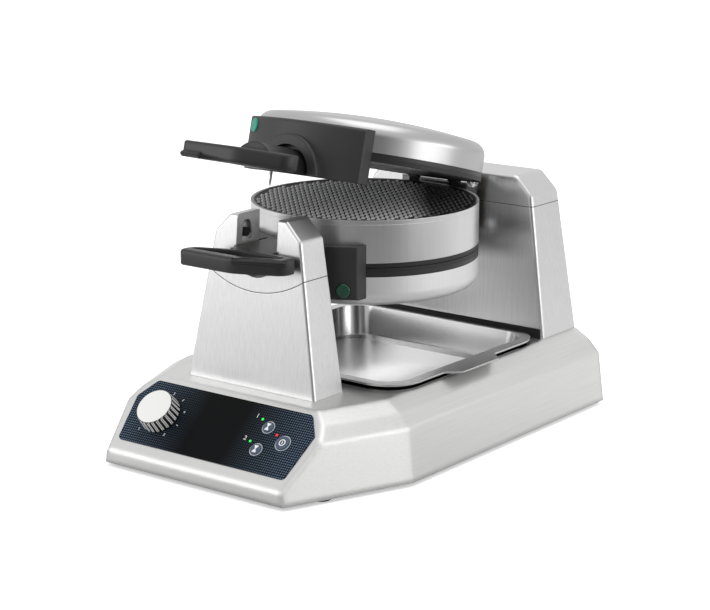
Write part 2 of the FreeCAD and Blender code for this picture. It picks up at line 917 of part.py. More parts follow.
def buffers():
    """Rubber studs that steady the closed necks."""
    y = (column_front_at_axis + column_rear_y) / 2
    z = axis_z + buffer_rise
    plate_x = notch_half + buffer_window_depth - buffer_plate_thickness
    return group(both_sides(along_x(buffer_radius, notch_half + body_gap, plate_x, y, z)))


# Rear tower


def tower_envelope(skin):
    """Tapered tower with chamfered shoulders, before it is parted into tower and cap."""
    top = deck_z + tower_height
    half = [
        (tower_foot_half - skin, deck_z),
        (tower_shoulder_half - skin, top - tower_shoulder_drop),
        (tower_flat_half - skin / 2, top - skin),
    ]
    radii = [0.0, tower_corner_radius, tower_corner_radius]
    front = half + [(-x, z) for x, z in reversed(half)]
    shape = front_prism(front, 0.0, reach, radii + radii[::-1])
    side = [
        (tower_front_y + skin, deck_z),
        (rear_y - skin, deck_z),
        (rear_y - skin - tower_rear_lean * tower_height, top),
        (tower_front_y + skin + tower_front_lean * tower_height, top),
    ]
    return one_solid(shape.common(side_prism(side, reach)))


def tower_front_at(z):
    """Depth of the tower's leaning front at a height."""
    return tower_front_y + tower_front_lean * (z - deck_z)


def bevelled_tower():
    solid = tower_envelope(0.0)

    def is_front_edge(edge):
        return all(abs(tower_front_at(v.Z) - v.Y) < tiny for v in edge.Vertexes)

    def wanted(edge):
        return is_front_edge(edge) and edge.BoundBox.ZMax > deck_z + overcut

    return softened(solid, tower_bevel, wanted)


def bush_room():
    """Seat of the bearing's flange and the hole for its barrel in the tower's front."""
    front = Vector(0, tower_front_at_axis, axis_z)
    seat = rod(bush_flange_radius + seat_gap, front - Vector(0, bush_flange_thickness, 0), front)
    hole = rod(bush_radius + seat_gap, front, front + Vector(0, bush_length, 0))
    return seat.fuse(hole)


def tower_shell():
    return bevelled_tower().cut(tower_envelope(sheet)).cut(bush_room())


def above_tower_seam():
    return block(Vector(-reach, 0, deck_z + tower_seam_z), Vector(reach, reach, deck_z + reach))


def rear_tower():
    return one_solid(tower_shell().cut(above_tower_seam()))


def tower_cap():
    return one_solid(tower_shell().common(above_tower_seam()))


def stop_pin_at(radius, near, far):
    """Bar at the place of the stop pin, below the shaft."""
    return rod(radius, Vector(0, near, axis_z - stop_pin_circle), Vector(0, far, axis_z - stop_pin_circle))


def bush_rear_y():
    return tower_front_at_axis + bush_length


def rear_bearing():
    """Flanged bush that carries the rotor's shaft."""
    front = tower_front_at_axis - bush_flange_thickness
    flange = along_y(bush_flange_radius, front, tower_front_at_axis, 0, axis_z)
    barrel = along_y(bush_radius, front, bush_rear_y(), 0, axis_z)
    bore = along_y(shaft_radius + running_clearance, 0, reach, 0, axis_z)
    pin_seat = stop_pin_at(stop_pin_radius, bush_rear_y() - stop_pin_sink, bush_rear_y() + overcut)
    return one_solid(flange.fuse(barrel).cut(bore).cut(pin_seat))


def stop_pin():
    near = bush_rear_y() - stop_pin_sink
    return stop_pin_at(stop_pin_radius, near, bush_rear_y() + body_gap + collar_thickness)


# Rotor, drawn about its own axis


def grill_plate():
    """Round grill plate: a raised rim round the dished field that carries the pattern."""
    seat = band_height / 2
    top = middle_half
    field = plate_radius - plate_rim_width
    spigot = plate_radius - sheet - seat_gap
    return turned([
        (0.0, seat - plate_spigot),
        (spigot, seat - plate_spigot),
        (spigot, seat),
        (plate_radius, seat),
        (plate_radius, top),
        (field, top),
        (field - plate_dip, top - plate_dip),
        (0.0, top - plate_dip),
    ])


def flipped(shape):
    """Turn a piece of the upper half over into the lower half, about the rotor's axis."""
    turned_over = shape.copy()
    turned_over.rotate(Vector(0, 0, 0), Y_AXIS, 180)
    return turned_over


def centre_band():
    half = band_height / 2
    inner = plate_radius - sheet
    band = turned([(inner, -half), (plate_radius, -half), (plate_radius, half), (inner, half)])
    return one_solid(band.cut(rod(shaft_radius + seat_gap, Vector(0, 0, 0), Vector(0, reach, 0))))


def ring_heater(top):
    """Flat-sided heating element in an open ring, hung under a given height."""
    inner, outer = heater_circle - heater_width / 2, heater_circle + heater_width / 2
    low = top - heater_height
    face = outline_face(
        [(inner, low), (outer, low), (outer, top), (inner, top)], lambda p: Vector(p.x, 0, p.y)
    )
    ring = face.revolve(Vector(0, 0, 0), Z_AXIS, heater_sweep)
    ring.rotate(Vector(0, 0, 0), Z_AXIS, 90 + (360 - heater_sweep) / 2)
    return ring


def centre_heaters():
    ring = ring_heater(band_height / 2 - plate_spigot)
    return group([ring, flipped(ring)])


def posts(low, high):
    """Four spacer posts on a circle."""
    made = []
    for i in range(4):
        turn = math.pi / 4 + math.pi / 2 * i
        x, y = post_circle * math.cos(turn), post_circle * math.sin(turn)
        made.append(rod(post_radius, Vector(x, y, low), Vector(x, y, high)))
    return group(made)


def plate_posts():
    reach_to = band_height / 2 - plate_spigot
    return posts(-reach_to, reach_to)


def collar_front_y():
    return bush_rear_y() + body_gap


def rotor_shaft():
    """Hollow shaft that carries the rotor and takes its wires into the tower."""
    inner = plate_radius - sheet
    flange_back = math.sqrt(inner ** 2 - shaft_flange_radius ** 2) - seat_gap
    end = collar_front_y() + collar_thickness + sheet
    flange_front = flange_back - shaft_flange_thickness
    flange = along_y(shaft_flange_radius, flange_front, flange_back)
    barrel = along_y(shaft_radius, flange_front, end)
    bore = along_y(shaft_bore, 0, reach)
    return one_solid(flange.fuse(barrel).cut(bore))


def shaft_collar():
    """Collar behind the bearing, with a dog that meets the stop pin at each end of the turn."""
    near, far = collar_front_y(), collar_front_y() + collar_thickness
    collar = along_y(collar_radius, near, far)
    pin_half_turn = math.degrees(math.asin((stop_pin_radius + body_gap) / stop_pin_circle))
    dog_sweep = 360 - stop_travel - 2 * pin_half_turn
    dog_radius = stop_pin_circle + stop_pin_radius
    dog = Part.makeCylinder(dog_radius, far - near, Vector(0, near, 0), Y_AXIS, dog_sweep)
    dog.rotate(Vector(0, 0, 0), Y_AXIS, 90 - pin_half_turn - dog_sweep)
    pin_room = along_y(stop_pin_radius + body_gap, near, far, 0, -stop_pin_circle)
    bore = along_y(shaft_radius, near, far)
    return one_solid(collar.fuse(dog).cut(pin_room).cut(bore))


def hinge_stations():
    """Left and right end of each knuckle of the hinge block."""
    return [
        (-hinge_half_width, -outer_knuckle_x),
        (-centre_knuckle_half, centre_knuckle_half),
        (outer_knuckle_x, hinge_half_width),
    ]


def hinge_block():
    """Block behind the middle unit with the knuckles of both lid hinges."""
    rear = hinge_y + hinge_block_reach
    body = block(
        Vector(-hinge_half_width, 0, -hinge_block_half), Vector(hinge_half_width, rear, hinge_block_half)
    )
    for low, high in hinge_stations():
        knuckle = along_x(knuckle_radius, low, high, hinge_y, hinge_z)
        arm = block(
            Vector(low, hinge_y - knuckle_radius, 0), Vector(high, hinge_y + hinge_block_reach, hinge_z)
        )
        upper = knuckle.fuse(arm)
        body = body.fuse([upper, flipped(upper)])
    for side in (-1, 1):
        ear_low = min(side * ear_inner_x, side * ear_outer_x) - hinge_side_play
        ear_high = ear_low + ear_width + 2 * hinge_side_play
        room = along_x(knuckle_radius + body_gap, ear_low, ear_high, hinge_y, hinge_z)
        body = body.cut([room, flipped(room)])
    far = hinge_half_width + 1
    pin_hole = along_x(pin_radius, -far, far, hinge_y, hinge_z)
    shaft_hole = rod(shaft_radius + seat_gap, Vector(0, 0, 0), Vector(0, reach, 0))
    drum = Part.makeCylinder(plate_radius + seat_gap, reach, Vector(0, 0, -reach / 2))
    return one_solid(body.cut([pin_hole, flipped(pin_hole), shaft_hole, drum]))


def hinge_pin():
    """Pin of one hinge with a domed head at each end."""
    end = hinge_half_width
    tip = end + pin_head_length

    def is_tip(edge):
        return edge.BoundBox.XMin > tip - tiny

    head = softened(along_x(pin_head_radius, end, tip, hinge_y, hinge_z), pin_head_length - overcut, is_tip)
    pin = along_x(pin_radius, -end, end, hinge_y, hinge_z)
    return one_solid(pin.fuse(both_sides(head)))


# Lid, drawn closed in the upper half of the rotor


def dish(skin, low):
    """Round block of the lid with a crowned top; a skin gives the hollow inside the dish."""
    radius = plate_radius - skin
    crown_radius = (plate_radius ** 2 + dish_crown ** 2) / (2 * dish_crown)
    crown_top = lid_top + dish_crown
    ball = Part.makeSphere(crown_radius - skin, Vector(0, 0, crown_top - crown_radius))
    solid = one_solid(Part.makeCylinder(radius, crown_top - low, Vector(0, 0, low)).common(ball))
    edge_z = lid_top - dish_edge_radius

    def is_rim(edge):
        return edge.BoundBox.ZMin > edge_z and edge.BoundBox.XLength > radius

    return softened(solid, dish_edge_radius - skin, is_rim)


def lid_cover():
    """Drawn steel dish with a round edge and a slightly crowned top."""
    return one_solid(dish(0.0, lid_seam).cut(dish(sheet, lid_seam - sheet)))


def lid_ring():
    """Heat-resistant ring between the dish and the grill plate."""
    inner = plate_radius - lid_plate_thickness
    return turned([
        (inner, lid_foot + plate_rim_height),
        (plate_radius, lid_foot + plate_rim_height),
        (plate_radius, lid_seam),
        (inner, lid_seam),
    ])


def lid_plate():
    """Grill plate of the lid, its patterned field to the middle unit."""
    low = lid_foot
    top = lid_foot + plate_rim_height
    field = plate_radius - plate_rim_width
    spigot = plate_radius - lid_plate_thickness - seat_gap
    return turned([
        (0.0, low + plate_dip),
        (field - plate_dip, low + plate_dip),
        (field, low),
        (plate_radius, low),
        (plate_radius, top),
        (spigot, top),
        (spigot, top + plate_spigot),
        (0.0, top + plate_spigot),
    ])


def lid_plate_back():
    return lid_foot + plate_rim_height + plate_spigot


def lid_heater():
    return ring_heater(lid_plate_back() + heater_height)


def lid_posts():
    return posts(lid_plate_back(), lid_top - sheet)


def above_parting():
    return block(Vector(-reach, -reach, parting_gap), Vector(reach, reach, reach))


def front_block():
    """Curved moulded block on the lid's front, with a half-round boss about the neck."""
    drum = Part.makeCylinder(block_front, block_height - parting_gap, Vector(0, 0, parting_gap))
    limits = block(
        Vector(-block_half_width, -reach, parting_gap), Vector(block_half_width, 0, block_height)
    )
    body = drum.common(limits)
    body = body.cut(Part.makeCylinder(block_inner, reach, Vector(0, 0, 0)))

    def is_outer_edge(edge):
        far = [math.hypot(v.X, v.Y) > block_front - tiny for v in edge.Vertexes]
        return all(far) and edge.BoundBox.ZMax > parting_gap + overcut

    body = softened(one_solid(body), block_edge_radius, is_outer_edge)
    boss = rod(boss_radius, Vector(0, boss_front_y, 0), Vector(0, -block_inner, 0))
    boss = softened(boss, boss_stand / 2, lambda edge: edge.BoundBox.YMax < boss_front_y + tiny)
    body = body.fuse(boss.common(above_parting()))
    recess = rod(boss_recess_radius, Vector(0, boss_front_y - overcut, 0), Vector(0, neck_seat_y, 0))
    body = body.cut([recess, lamp_bar(lamp_radius + seat_gap, -lamp_depth, block_thickness)])
    body = body.cut(Part.makeCylinder(block_inner, reach, Vector(0, 0, 0)))
    return one_solid(body.cut(group(block_screw_bars(block_screw_radius))))


def lamp_bar(radius, start, end):
    """Round bar square to the block's curved face at the lamp, measured from that face."""
    turn = math.asin(lamp_x / block_front)
    outward = Vector(-math.sin(turn), -math.cos(turn), 0)
    face = outward * block_front + Vector(0, 0, lamp_rise)
    return rod(radius, face + outward * start, face + outward * end)


def lamp():
    """Domed lens of the ready lamp."""
    lens = lamp_bar(lamp_radius, -lamp_depth + seat_gap, lamp_stand)
    furthest = max(math.hypot(v.X, v.Y) for v in lens.Vertexes) - lamp_face_band

    def is_front(edge):
        return all(math.hypot(v.X, v.Y) > furthest for v in edge.Vertexes) and len(edge.Vertexes) == 1

    return softened(lens, lamp_stand * lamp_doming, is_front)


def block_screw_bars(radius):
    """Bars for the screws that hold the block to the dish, one each side of the boss."""
    z = (lid_seam + block_height) / 2
    bars = []
    for side in (-1, 1):
        outer = Vector(side * block_screw_x, -math.sqrt(block_inner ** 2 - block_screw_x ** 2), z)
        outward = Vector(outer.x, outer.y, 0).normalize()
        bite = block_thickness * block_screw_bite
        bars.append(rod(radius, outer - outward * (2 * sheet), outer + outward * bite))
    return bars


def block_screws():
    """Screws from inside the dish into the block."""
    made = []
    for bar in block_screw_bars(block_screw_radius):
        centre = bar.CenterOfMass
        outward = Vector(centre.x, centre.y, 0).normalize()
        inside = outward * (plate_radius - sheet - seat_gap) + Vector(0, 0, centre.z)
        head_depth = block_screw_radius * block_screw_head_depth
        head = rod(block_screw_radius * block_screw_head_ratio, inside - outward * head_depth, inside)
        made.append(one_solid(bar.fuse(head)))
    return group(made)


def drilled_cover():
    return one_solid(lid_cover().cut(group(block_screw_bars(block_screw_radius))))


def handle_outline():
    """Skewed loop of the handle in plan, counter-clockwise from its left front corner."""
    return [
        (-handle_forward_end, handle_front_y),
        (handle_front_turn, handle_front_y),
        (handle_near_end, handle_rear_y - handle_near_width),
        (handle_near_end, handle_rear_y),
        (handle_rear_turn, handle_rear_y),
        (-handle_forward_end, handle_front_y + handle_forward_width),
    ]


def finger_lip(start, end):
    """Low lip outside the straight from start to end of the handle's outline."""
    run = Vector(end[0] - start[0], end[1] - start[1], 0).normalize()
    outward = Vector(run.y, -run.x, 0)
    outer = outward * finger_lip_stand
    inner = outward * (-handle_slant_bar / 2)
    first, last = Vector(start[0], start[1], 0), Vector(end[0], end[1], 0)
    corners = [(p.x, p.y) for p in (first + outer, last + outer, last + inner, first + inner)]
    round_lip = [finger_lip_corner, finger_lip_corner, 0.0, 0.0]
    return plan_prism(corners, parting_gap, finger_lip_height, round_lip)


def handle(lip):
    """Loop handle with a finger lip, on a half-round neck that turns in the cradle."""
    outline = handle_outline()
    turn = handle_depth
    corner_radii = [handle_front_corner, turn, handle_end_corner]
    corner_radii += [handle_near_corner, turn, handle_end_corner]
    loop = plan_prism(outline, parting_gap, handle_height, corner_radii)
    loop = softened(loop, handle_edge_radius, lambda edge: edge.BoundBox.ZMin > handle_height - tiny)
    bars = [handle_front_bar, handle_slant_bar, handle_end_bar]
    bars += [handle_rear_bar, handle_slant_bar, handle_end_bar]
    slot_radii = [slot_corner, turn / 2, slot_near_corner, slot_corner, turn / 2, slot_corner]
    slot = plan_prism(inset(outline, bars), 0.0, handle_height + overcut, slot_radii)
    neck_end = handle_rear_y - handle_rear_bar / 2
    neck = rod(neck_radius, Vector(0, neck_seat_y, 0), Vector(0, neck_end, 0))
    return one_solid(loop.fuse(lip).cut(slot).fuse(neck.common(above_parting())))


def upper_handle():
    corner = handle_outline()[0]
    start = (corner[0] + finger_lip_corner, corner[1])
    return handle(finger_lip(start, (start[0] + upper_lip_length, start[1])))


def lower_handle():
    """The same loop below the parting plane, with its lip along the slanted straight."""
    outline = handle_outline()
    return handle(finger_lip(outline[1], outline[2])).mirror(Vector(0, 0, 0), Z_AXIS)


def hinge_arm():
    """Curved pad on the lid's back with two ears that turn on the hinge pin."""
    pad_inner = plate_radius + seat_gap
    pad_outer = pad_inner + hinge_pad_thickness
    pad_low = lid_seam + hinge_pad_gap
    pad_high = lid_top - dish_edge_radius
    pad = Part.makeCylinder(pad_outer, pad_high - pad_low, Vector(0, 0, pad_low))
    pad = pad.common(block(Vector(-ear_outer_x, 0, 0), Vector(ear_outer_x, reach, reach)))
    ear_root = math.sqrt(plate_radius ** 2 - ear_outer_x ** 2)
    profile = [
        (ear_root, hinge_z + ear_root_rise),
        (hinge_y, hinge_z - ear_radius),
        (hinge_y, hinge_z + ear_radius),
        (pad_outer + ear_flare, hinge_z + ear_radius + ear_shoulder),
        (ear_root, pad_high),
    ]
    for side in (-1, 1):
        low = min(side * ear_inner_x, side * ear_outer_x)
        face = outline_face(profile, lambda p: Vector(low, p.x, p.y))
        ear = face.extrude(Vector(ear_width, 0, 0))
        barrel = along_x(ear_radius, low, low + ear_width, hinge_y, hinge_z)
        pad = pad.fuse([ear, barrel])
    drum = Part.makeCylinder(pad_inner, reach, Vector(0, 0, 0))
    hole = along_x(pin_radius + running_clearance, -reach, reach, hinge_y, hinge_z)
    return one_solid(pad.cut([drum, hole]))


def guide_rod():
    """Thin steel rod beside the plates, held by a lug on the lid's left side."""
    x = -(plate_radius + guide_rod_stand)
    top = lid_seam + dish_edge_radius
    bar = rod(guide_rod_radius, Vector(x, 0, top - guide_rod_length), Vector(x, 0, top))
    lug_low = Vector(x - 2 * guide_rod_radius, -guide_lug_height / 2, top - guide_lug_height)
    lug = block(lug_low, Vector(-plate_radius + guide_rod_stand, guide_lug_height / 2, top))
    lug = lug.cut(Part.makeCylinder(plate_radius + seat_gap, reach, Vector(0, 0, 0)))
    return one_solid(bar.fuse(lug))


def opened(shape):
    """Raise a piece of the upper lid to the angle at which it stands open."""
    raised = shape.copy()
    raised.rotate(Vector(0, hinge_y, hinge_z), X_AXIS, -open_angle)
    return raised


# All pieces

keep("base_shell", base_shell())
keep("base_floor", base_floor())
keep("feet", feet())
keep("foot_screws", foot_screws())
keep("tray_well", tray_well())
keep("drip_tray", drip_tray())
keep("control_overlay", control_overlay())
keep("control_board", control_board())
keep("board_spacers", board_spacers())
keep("thermostat", thermostat())
keep("knob_skirt", knob_skirt())
keep("knob_face", knob_face())
keep("knob_shaft", knob_shaft())
keep("start_button_1", button(start_u, start_high_s, start_radius))
keep("start_button_2", button(start_u, start_low_s, start_radius))
keep("power_button", button(power_u, power_s, power_radius))
start_leds = led_places()[:2]
power_led = led_places()[2]
keep("start_leds", group([indicator(u, s) for u, s in start_leds]))
keep("power_led", indicator(power_led[0], power_led[1]))
keep("transformer", transformer())
keep("terminal_block", terminal_block())
keep("cord_gland", cord_gland())
keep("front_column", front_column())
keep("cradle_cap", cradle_cap())
keep("cradle_liner", cradle_liner())
keep("buffer_plates", buffer_plates())
keep("buffers", buffers())
keep("rear_tower", rear_tower())
keep("tower_cap", tower_cap())
keep("rear_bearing", rear_bearing())
keep("stop_pin", stop_pin())

keep("centre_band", centre_band(), True)
keep("upper_plate", grill_plate(), True)
keep("lower_plate", flipped(grill_plate()), True)
keep("centre_heaters", centre_heaters(), True)
keep("plate_posts", plate_posts(), True)
keep("rotor_shaft", rotor_shaft(), True)
keep("shaft_collar", shaft_collar(), True)
keep("hinge_block", hinge_block(), True)
keep("hinge_pins", group([hinge_pin(), flipped(hinge_pin())]), True)

lid_pieces = {
    "lid_cover": drilled_cover(),
    "lid_ring": lid_ring(),
    "lid_plate": lid_plate(),
    "lid_heater": lid_heater(),
    "lid_posts": lid_posts(),
    "front_block": front_block(),
    "block_screws": block_screws(),
    "lamp": lamp(),
    "hinge_arm": hinge_arm(),
}
for piece_name, piece in lid_pieces.items():
    keep("upper_" + piece_name, opened(piece), True)
    keep("lower_" + piece_name, flipped(piece), True)
keep("upper_handle", opened(upper_handle()), True)
keep("lower_handle", lower_handle(), True)
keep("guide_rod", opened(guide_rod()), True)
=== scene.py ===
# %% [markdown]
# # Double waffle cone maker
# The machine bakes two waffles in a flat drum. The drum turns over between a front cradle and a rear tower.
# The CAD model is loaded first as a fixed frame. Everything below gives its pieces their finishes,
# adds the small forms that CAD leaves out, and sets up the studio that the photo shows.

# %% Load the frame
import json
import math

import bmesh
import bpy
from mathutils import Matrix, Vector


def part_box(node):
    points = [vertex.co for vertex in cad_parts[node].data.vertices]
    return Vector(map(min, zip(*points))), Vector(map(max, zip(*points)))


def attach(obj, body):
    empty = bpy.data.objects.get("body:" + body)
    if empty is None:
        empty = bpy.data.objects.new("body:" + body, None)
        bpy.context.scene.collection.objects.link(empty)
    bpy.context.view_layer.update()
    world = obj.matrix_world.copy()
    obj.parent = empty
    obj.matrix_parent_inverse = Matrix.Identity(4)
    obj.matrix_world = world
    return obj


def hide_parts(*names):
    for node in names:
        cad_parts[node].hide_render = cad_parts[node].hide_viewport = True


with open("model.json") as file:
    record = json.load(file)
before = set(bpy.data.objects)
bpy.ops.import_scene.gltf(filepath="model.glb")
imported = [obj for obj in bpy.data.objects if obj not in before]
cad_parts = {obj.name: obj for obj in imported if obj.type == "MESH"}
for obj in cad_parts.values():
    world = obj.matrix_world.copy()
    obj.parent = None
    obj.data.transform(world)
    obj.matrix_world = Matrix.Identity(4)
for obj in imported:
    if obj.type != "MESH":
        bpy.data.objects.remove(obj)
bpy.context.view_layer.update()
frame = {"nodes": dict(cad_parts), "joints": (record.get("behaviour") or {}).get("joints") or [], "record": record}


nodes = frame["nodes"]
joints = {joint["name"]: joint for joint in frame["joints"]}
mm = 0.001

# %% [markdown]
# ## Places that the pieces are measured from
# The joints already hold the useful places: the drum's centre, the lid's hinge line and the panel's slope.
# They could be typed in again as numbers, but taking them from the frame keeps every added form
# in step with the CAD model if a size changes. Each frame below turns millimetres into scene metres.

# %% Drum and lid frames
drum_centre = Vector(joints["rotor_spin"]["pos_m"])
lid_hinge = Vector(joints["upper_lid_hinge"]["pos_m"])
lid_axis = Vector(joints["upper_lid_hinge"]["axis"])
open_angle = -math.radians(joints["upper_lid_hinge"]["range_deg"][0])

drum_frame = Matrix.Translation(drum_centre) @ Matrix.Scale(mm, 4)
swing = Matrix.Rotation(open_angle, 4, lid_axis)
upper_frame = Matrix.Translation(lid_hinge) @ swing @ Matrix.Translation(-lid_hinge) @ drum_frame
lower_frame = drum_frame @ Matrix.Rotation(math.pi, 4, "Y")
print("upper lid raised", round(math.degrees(open_angle), 1), "degrees")

# %% Panel frame
sideways = Vector((1, 0, 0))
panel_normal = Vector(joints["knob_turn"]["axis"]).normalized()
panel_up = panel_normal.cross(sideways).normalized()
# the knob's axis on the panel: mm across from the middle, and mm up the slope
knob_place = (-54.9, 38.5)


def panel_height(node):
    """Height of a piece's top along the panel's normal, in metres."""
    return max(panel_normal.dot(v.co) for v in nodes[node].data.vertices)


film_height = panel_height("control_overlay")
panel_origin = Vector(joints["knob_turn"]["pos_m"])
panel_origin -= sideways * (knob_place[0] * mm) + panel_up * (knob_place[1] * mm)
panel_origin += panel_normal * (film_height - panel_normal.dot(panel_origin))
panel_axes = Matrix((sideways, panel_up, panel_normal)).transposed().to_4x4()
panel_frame = Matrix.Translation(panel_origin) @ panel_axes @ Matrix.Scale(mm, 4)
print("panel slope", round(math.degrees(math.acos(panel_normal.z)), 1), "degrees")

# %% [markdown]
# ## Making and hanging new pieces
# Each added form is a plain mesh that already stands in its final place.
# It is hung on the body it belongs to, so it follows that body when a joint moves.
# A CAD piece is never edited: where its shape is softened, a copy stands in for it.

# %% Object helpers
bodies = frame["record"]["behaviour"]["bodies"]
body_of = {node: body for body, members in bodies.items() for node in members}


def in_scene(name, data):
    """New object in the scene that shows the data."""
    made = bpy.data.objects.new(name, data)
    bpy.context.scene.collection.objects.link(made)
    return made


def mesh_object(name, mesh, material):
    """New object in the scene from a finished mesh, all in one material."""
    mesh.name = name
    mesh.materials.clear()
    mesh.materials.append(material)
    return in_scene(name, mesh)


def hang(made, body):
    """Lets a piece move with a body."""
    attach(made, body)
    return made


print("bodies:", ", ".join(sorted(bodies)))

# %% Mesh helpers


def from_points(points, faces, edges=()):
    mesh = bpy.data.meshes.new("new")
    mesh.from_pydata(points, edges, faces)
    return mesh


def mesh_from(work):
    """Mesh of a finished bmesh."""
    mesh = bpy.data.meshes.new("new")
    work.to_mesh(mesh)
    work.free()
    return mesh


def plain_mesh(holder):
    """Mesh of a helper object with its modifiers or its curve worked out. The helper is removed."""
    evaluated = holder.evaluated_get(bpy.context.evaluated_depsgraph_get())
    mesh = bpy.data.meshes.new_from_object(evaluated)
    bpy.data.objects.remove(holder)
    return mesh


def smooth(mesh, angle):
    """Shades a mesh smooth, apart from edges sharper than the angle."""
    mesh.polygons.foreach_set("use_smooth", [True] * len(mesh.polygons))
    mesh.set_sharp_from_angle(angle=math.radians(angle))


def joined_copy(node):
    """Copy of a CAD piece in a bmesh, its facets joined into whole faces."""
    same_place, nearly_flat = 0.002 * mm, math.radians(0.3)
    work = bmesh.new()
    work.from_mesh(nodes[node].data)
    bmesh.ops.remove_doubles(work, verts=work.verts, dist=same_place)
    bmesh.ops.dissolve_limit(work, angle_limit=nearly_flat, verts=work.verts, edges=work.edges)
    return work


def stand_in(name, node, mesh, finish, angle):
    """Shows a mesh in the place of a CAD piece, on the same body."""
    smooth(mesh, angle)
    made = mesh_object(name, mesh, finishes[finish])
    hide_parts(node)
    return hang(made, body_of[node])


print("CAD vertices:", sum(len(piece.data.vertices) for piece in nodes.values()))

# %% [markdown]
# ## One way to write a colour and one way to add a shader node
# Colours are picked as screen values, so each one is turned into linear light before a shader uses it.
# A single function that adds a node and joins its inputs keeps the materials short enough to read.

# %% Colour and node helpers


def linear(code):
    """Linear colour from a screen colour such as c8c8c8."""
    channels = [int(code[i:i + 2], 16) / 255 for i in (0, 2, 4)]
    return [c / 12.92 if c <= 0.04045 else ((c + 0.055) / 1.055) ** 2.4 for c in channels] + [1.0]


def add(tree, kind, inputs=None, **settings):
    """Adds a node, sets its properties and joins or fills its inputs."""
    node = tree.nodes.new(kind)
    for name, value in settings.items():
        setattr(node, name, value)
    for key, value in (inputs or {}).items():
        if isinstance(value, bpy.types.NodeSocket):
            tree.links.new(value, node.inputs[key])
        else:
            node.inputs[key].default_value = value
    return node


def surface(name, colour, **inputs):
    """New material with one Principled shader. Returns the material, its tree and the shader."""
    material = bpy.data.materials.new(name)
    material.use_nodes = True
    tree = material.node_tree
    shader = tree.nodes["Principled BSDF"]
    shader.inputs["Base Color"].default_value = linear(colour)
    for key, value in inputs.items():
        shader.inputs[key.replace("_", " ").title().replace("Ior", "IOR")].default_value = value
    return material, tree, shader


def even(name, colour, **inputs):
    """Material with no pattern on it."""
    return surface(name, colour, **inputs)[0]


def relief(tree, shader, height, strength, depth, edge):
    """Fine relief, over edges that shade as if rounded off. depth and edge are in mm."""
    rounded = add(tree, "ShaderNodeBevel", {"Radius": edge * mm}, samples=6)
    bump = add(tree, "ShaderNodeBump", {
        "Height": height, "Strength": strength, "Distance": depth * mm, "Normal": rounded.outputs["Normal"]})
    tree.links.new(bump.outputs["Normal"], shader.inputs["Normal"])


print("mid grey in linear light:", round(linear("808080")[0], 3))

# %% [markdown]
# ## Brushed stainless steel
# The housing is stainless sheet with a satin grain, rubbed in one direction before it is folded.
# A picture of brushed steel could be wrapped round it, but it would stretch at every fold.
# Noise stretched along the grain needs no wrapping: its streaks tint the metal, vary its roughness
# and lift the normal a little.

# %% Steel finishes
# sizes of a streak in mm; a real one is about 0.1 mm wide, but it is drawn wider so that it shows
streak_width, streak_length, streak_depth = 0.8, 60, 0.2
# how far a full streak sways the roughness and the relief, and the span of the noise that tints the metal
streak_sway, noise_low, noise_high = 0.05, 0.25, 0.6


def brushed_steel(name, colour, roughness, grain, streak, edge, tone):
    """Satin steel. grain is the axis that the streaks follow, streak how strong they are, edge how far
    edges seem rounded off in mm, and tone how much the streaks darken the metal."""
    material, tree, shader = surface(name, colour, metallic=1.0, roughness=roughness)
    place = add(tree, "ShaderNodeTexCoord").outputs["Object"]
    scale = [1 / ((streak_length if axis == grain else streak_width) * mm) for axis in "XYZ"]
    stretched = add(tree, "ShaderNodeMapping", {"Vector": place, "Scale": scale})
    noise = add(tree, "ShaderNodeTexNoise", {
        "Vector": stretched.outputs["Vector"], "Scale": 1.0, "Detail": 2.0}).outputs["Fac"]
    darker = [channel * (1 - 2 * tone) for channel in linear(colour)[:3]] + [1.0]
    share = add(tree, "ShaderNodeMapRange", {"Value": noise, "From Min": noise_low, "From Max": noise_high})
    tint = add(tree, "ShaderNodeMix", {
        0: share.outputs["Result"], 6: darker, 7: linear(colour)}, data_type="RGBA")
    tree.links.new(tint.outputs[2], shader.inputs["Base Color"])
    sway = streak_sway * streak
    vary = add(tree, "ShaderNodeMapRange", {
        "Value": noise, "To Min": roughness - sway, "To Max": roughness + sway})
    tree.links.new(vary.outputs["Result"], shader.inputs["Roughness"])
    relief(tree, shader, noise, sway, streak_depth, edge)
    return material


finishes = {
    # satin housing steel, streaks along its length
    "body_steel": brushed_steel("brushed stainless, body", "dededd", 0.36, "Y", 0.4, 6.0, 0.035),
    # satin column and tower steel, upright streaks
    "tower_steel": brushed_steel("brushed stainless, tower", "d8d8d8", 0.33, "Z", 0.5, 1.0, 0.05),
    # drawn band round the drum, smoother so that it shines evenly
    "lid_steel": brushed_steel("drawn stainless, band", "d9d9d9", 0.28, "Z", 0.08, 0.5, 0.03),
    # upper dish, polished, its colour darker than the lower dish's as painted shade, so that its side shows soft
    # dark and light bands
    "lid_polished_shaded": brushed_steel("polished stainless, upper lid, painted shade", "bcbcbc", 0.33, "Z", 0.05, 0.5, 0.02),
    # lower dish, rubbed duller by use
    "dish_satin": brushed_steel("drawn stainless, lower lid", "e2e2e2", 0.5, "Z", 0.08, 0.5, 0.02),
    # drawn tray, its walls bright enough to mirror the drum
    "tray_steel": brushed_steel("drawn stainless, tray", "c4c4c4", 0.2, "Y", 0.05, 0.5, 0.02),
    # flat floor of the tray, rubbed across so that it stays an even grey
    "tray_satin": brushed_steel("brushed stainless, tray floor", "e8e8e8", 0.3, "X", 0.3, 0.0, 0.04),
    # folded inner sheet, dull and darker; also the painted shade on the sides of the tray's rubbed field
    "inner_steel": brushed_steel("plain steel, inside, and step shade", "8f8f8f", 0.45, "X", 0.3, 0.3, 0.1),
}
print("steel finishes:", len(finishes))

# %% [markdown]
# ## Plastics, coatings and lenses
# The handles are heat-resistant moulded phenolic: near black, with a dull sheen from fine moulding texture.
# The grill plates carry a dark non-stick coating. Lamps and lights are clear or glowing plastic.
# The moulding texture could be left out, but without it broad highlights look like wet paint.

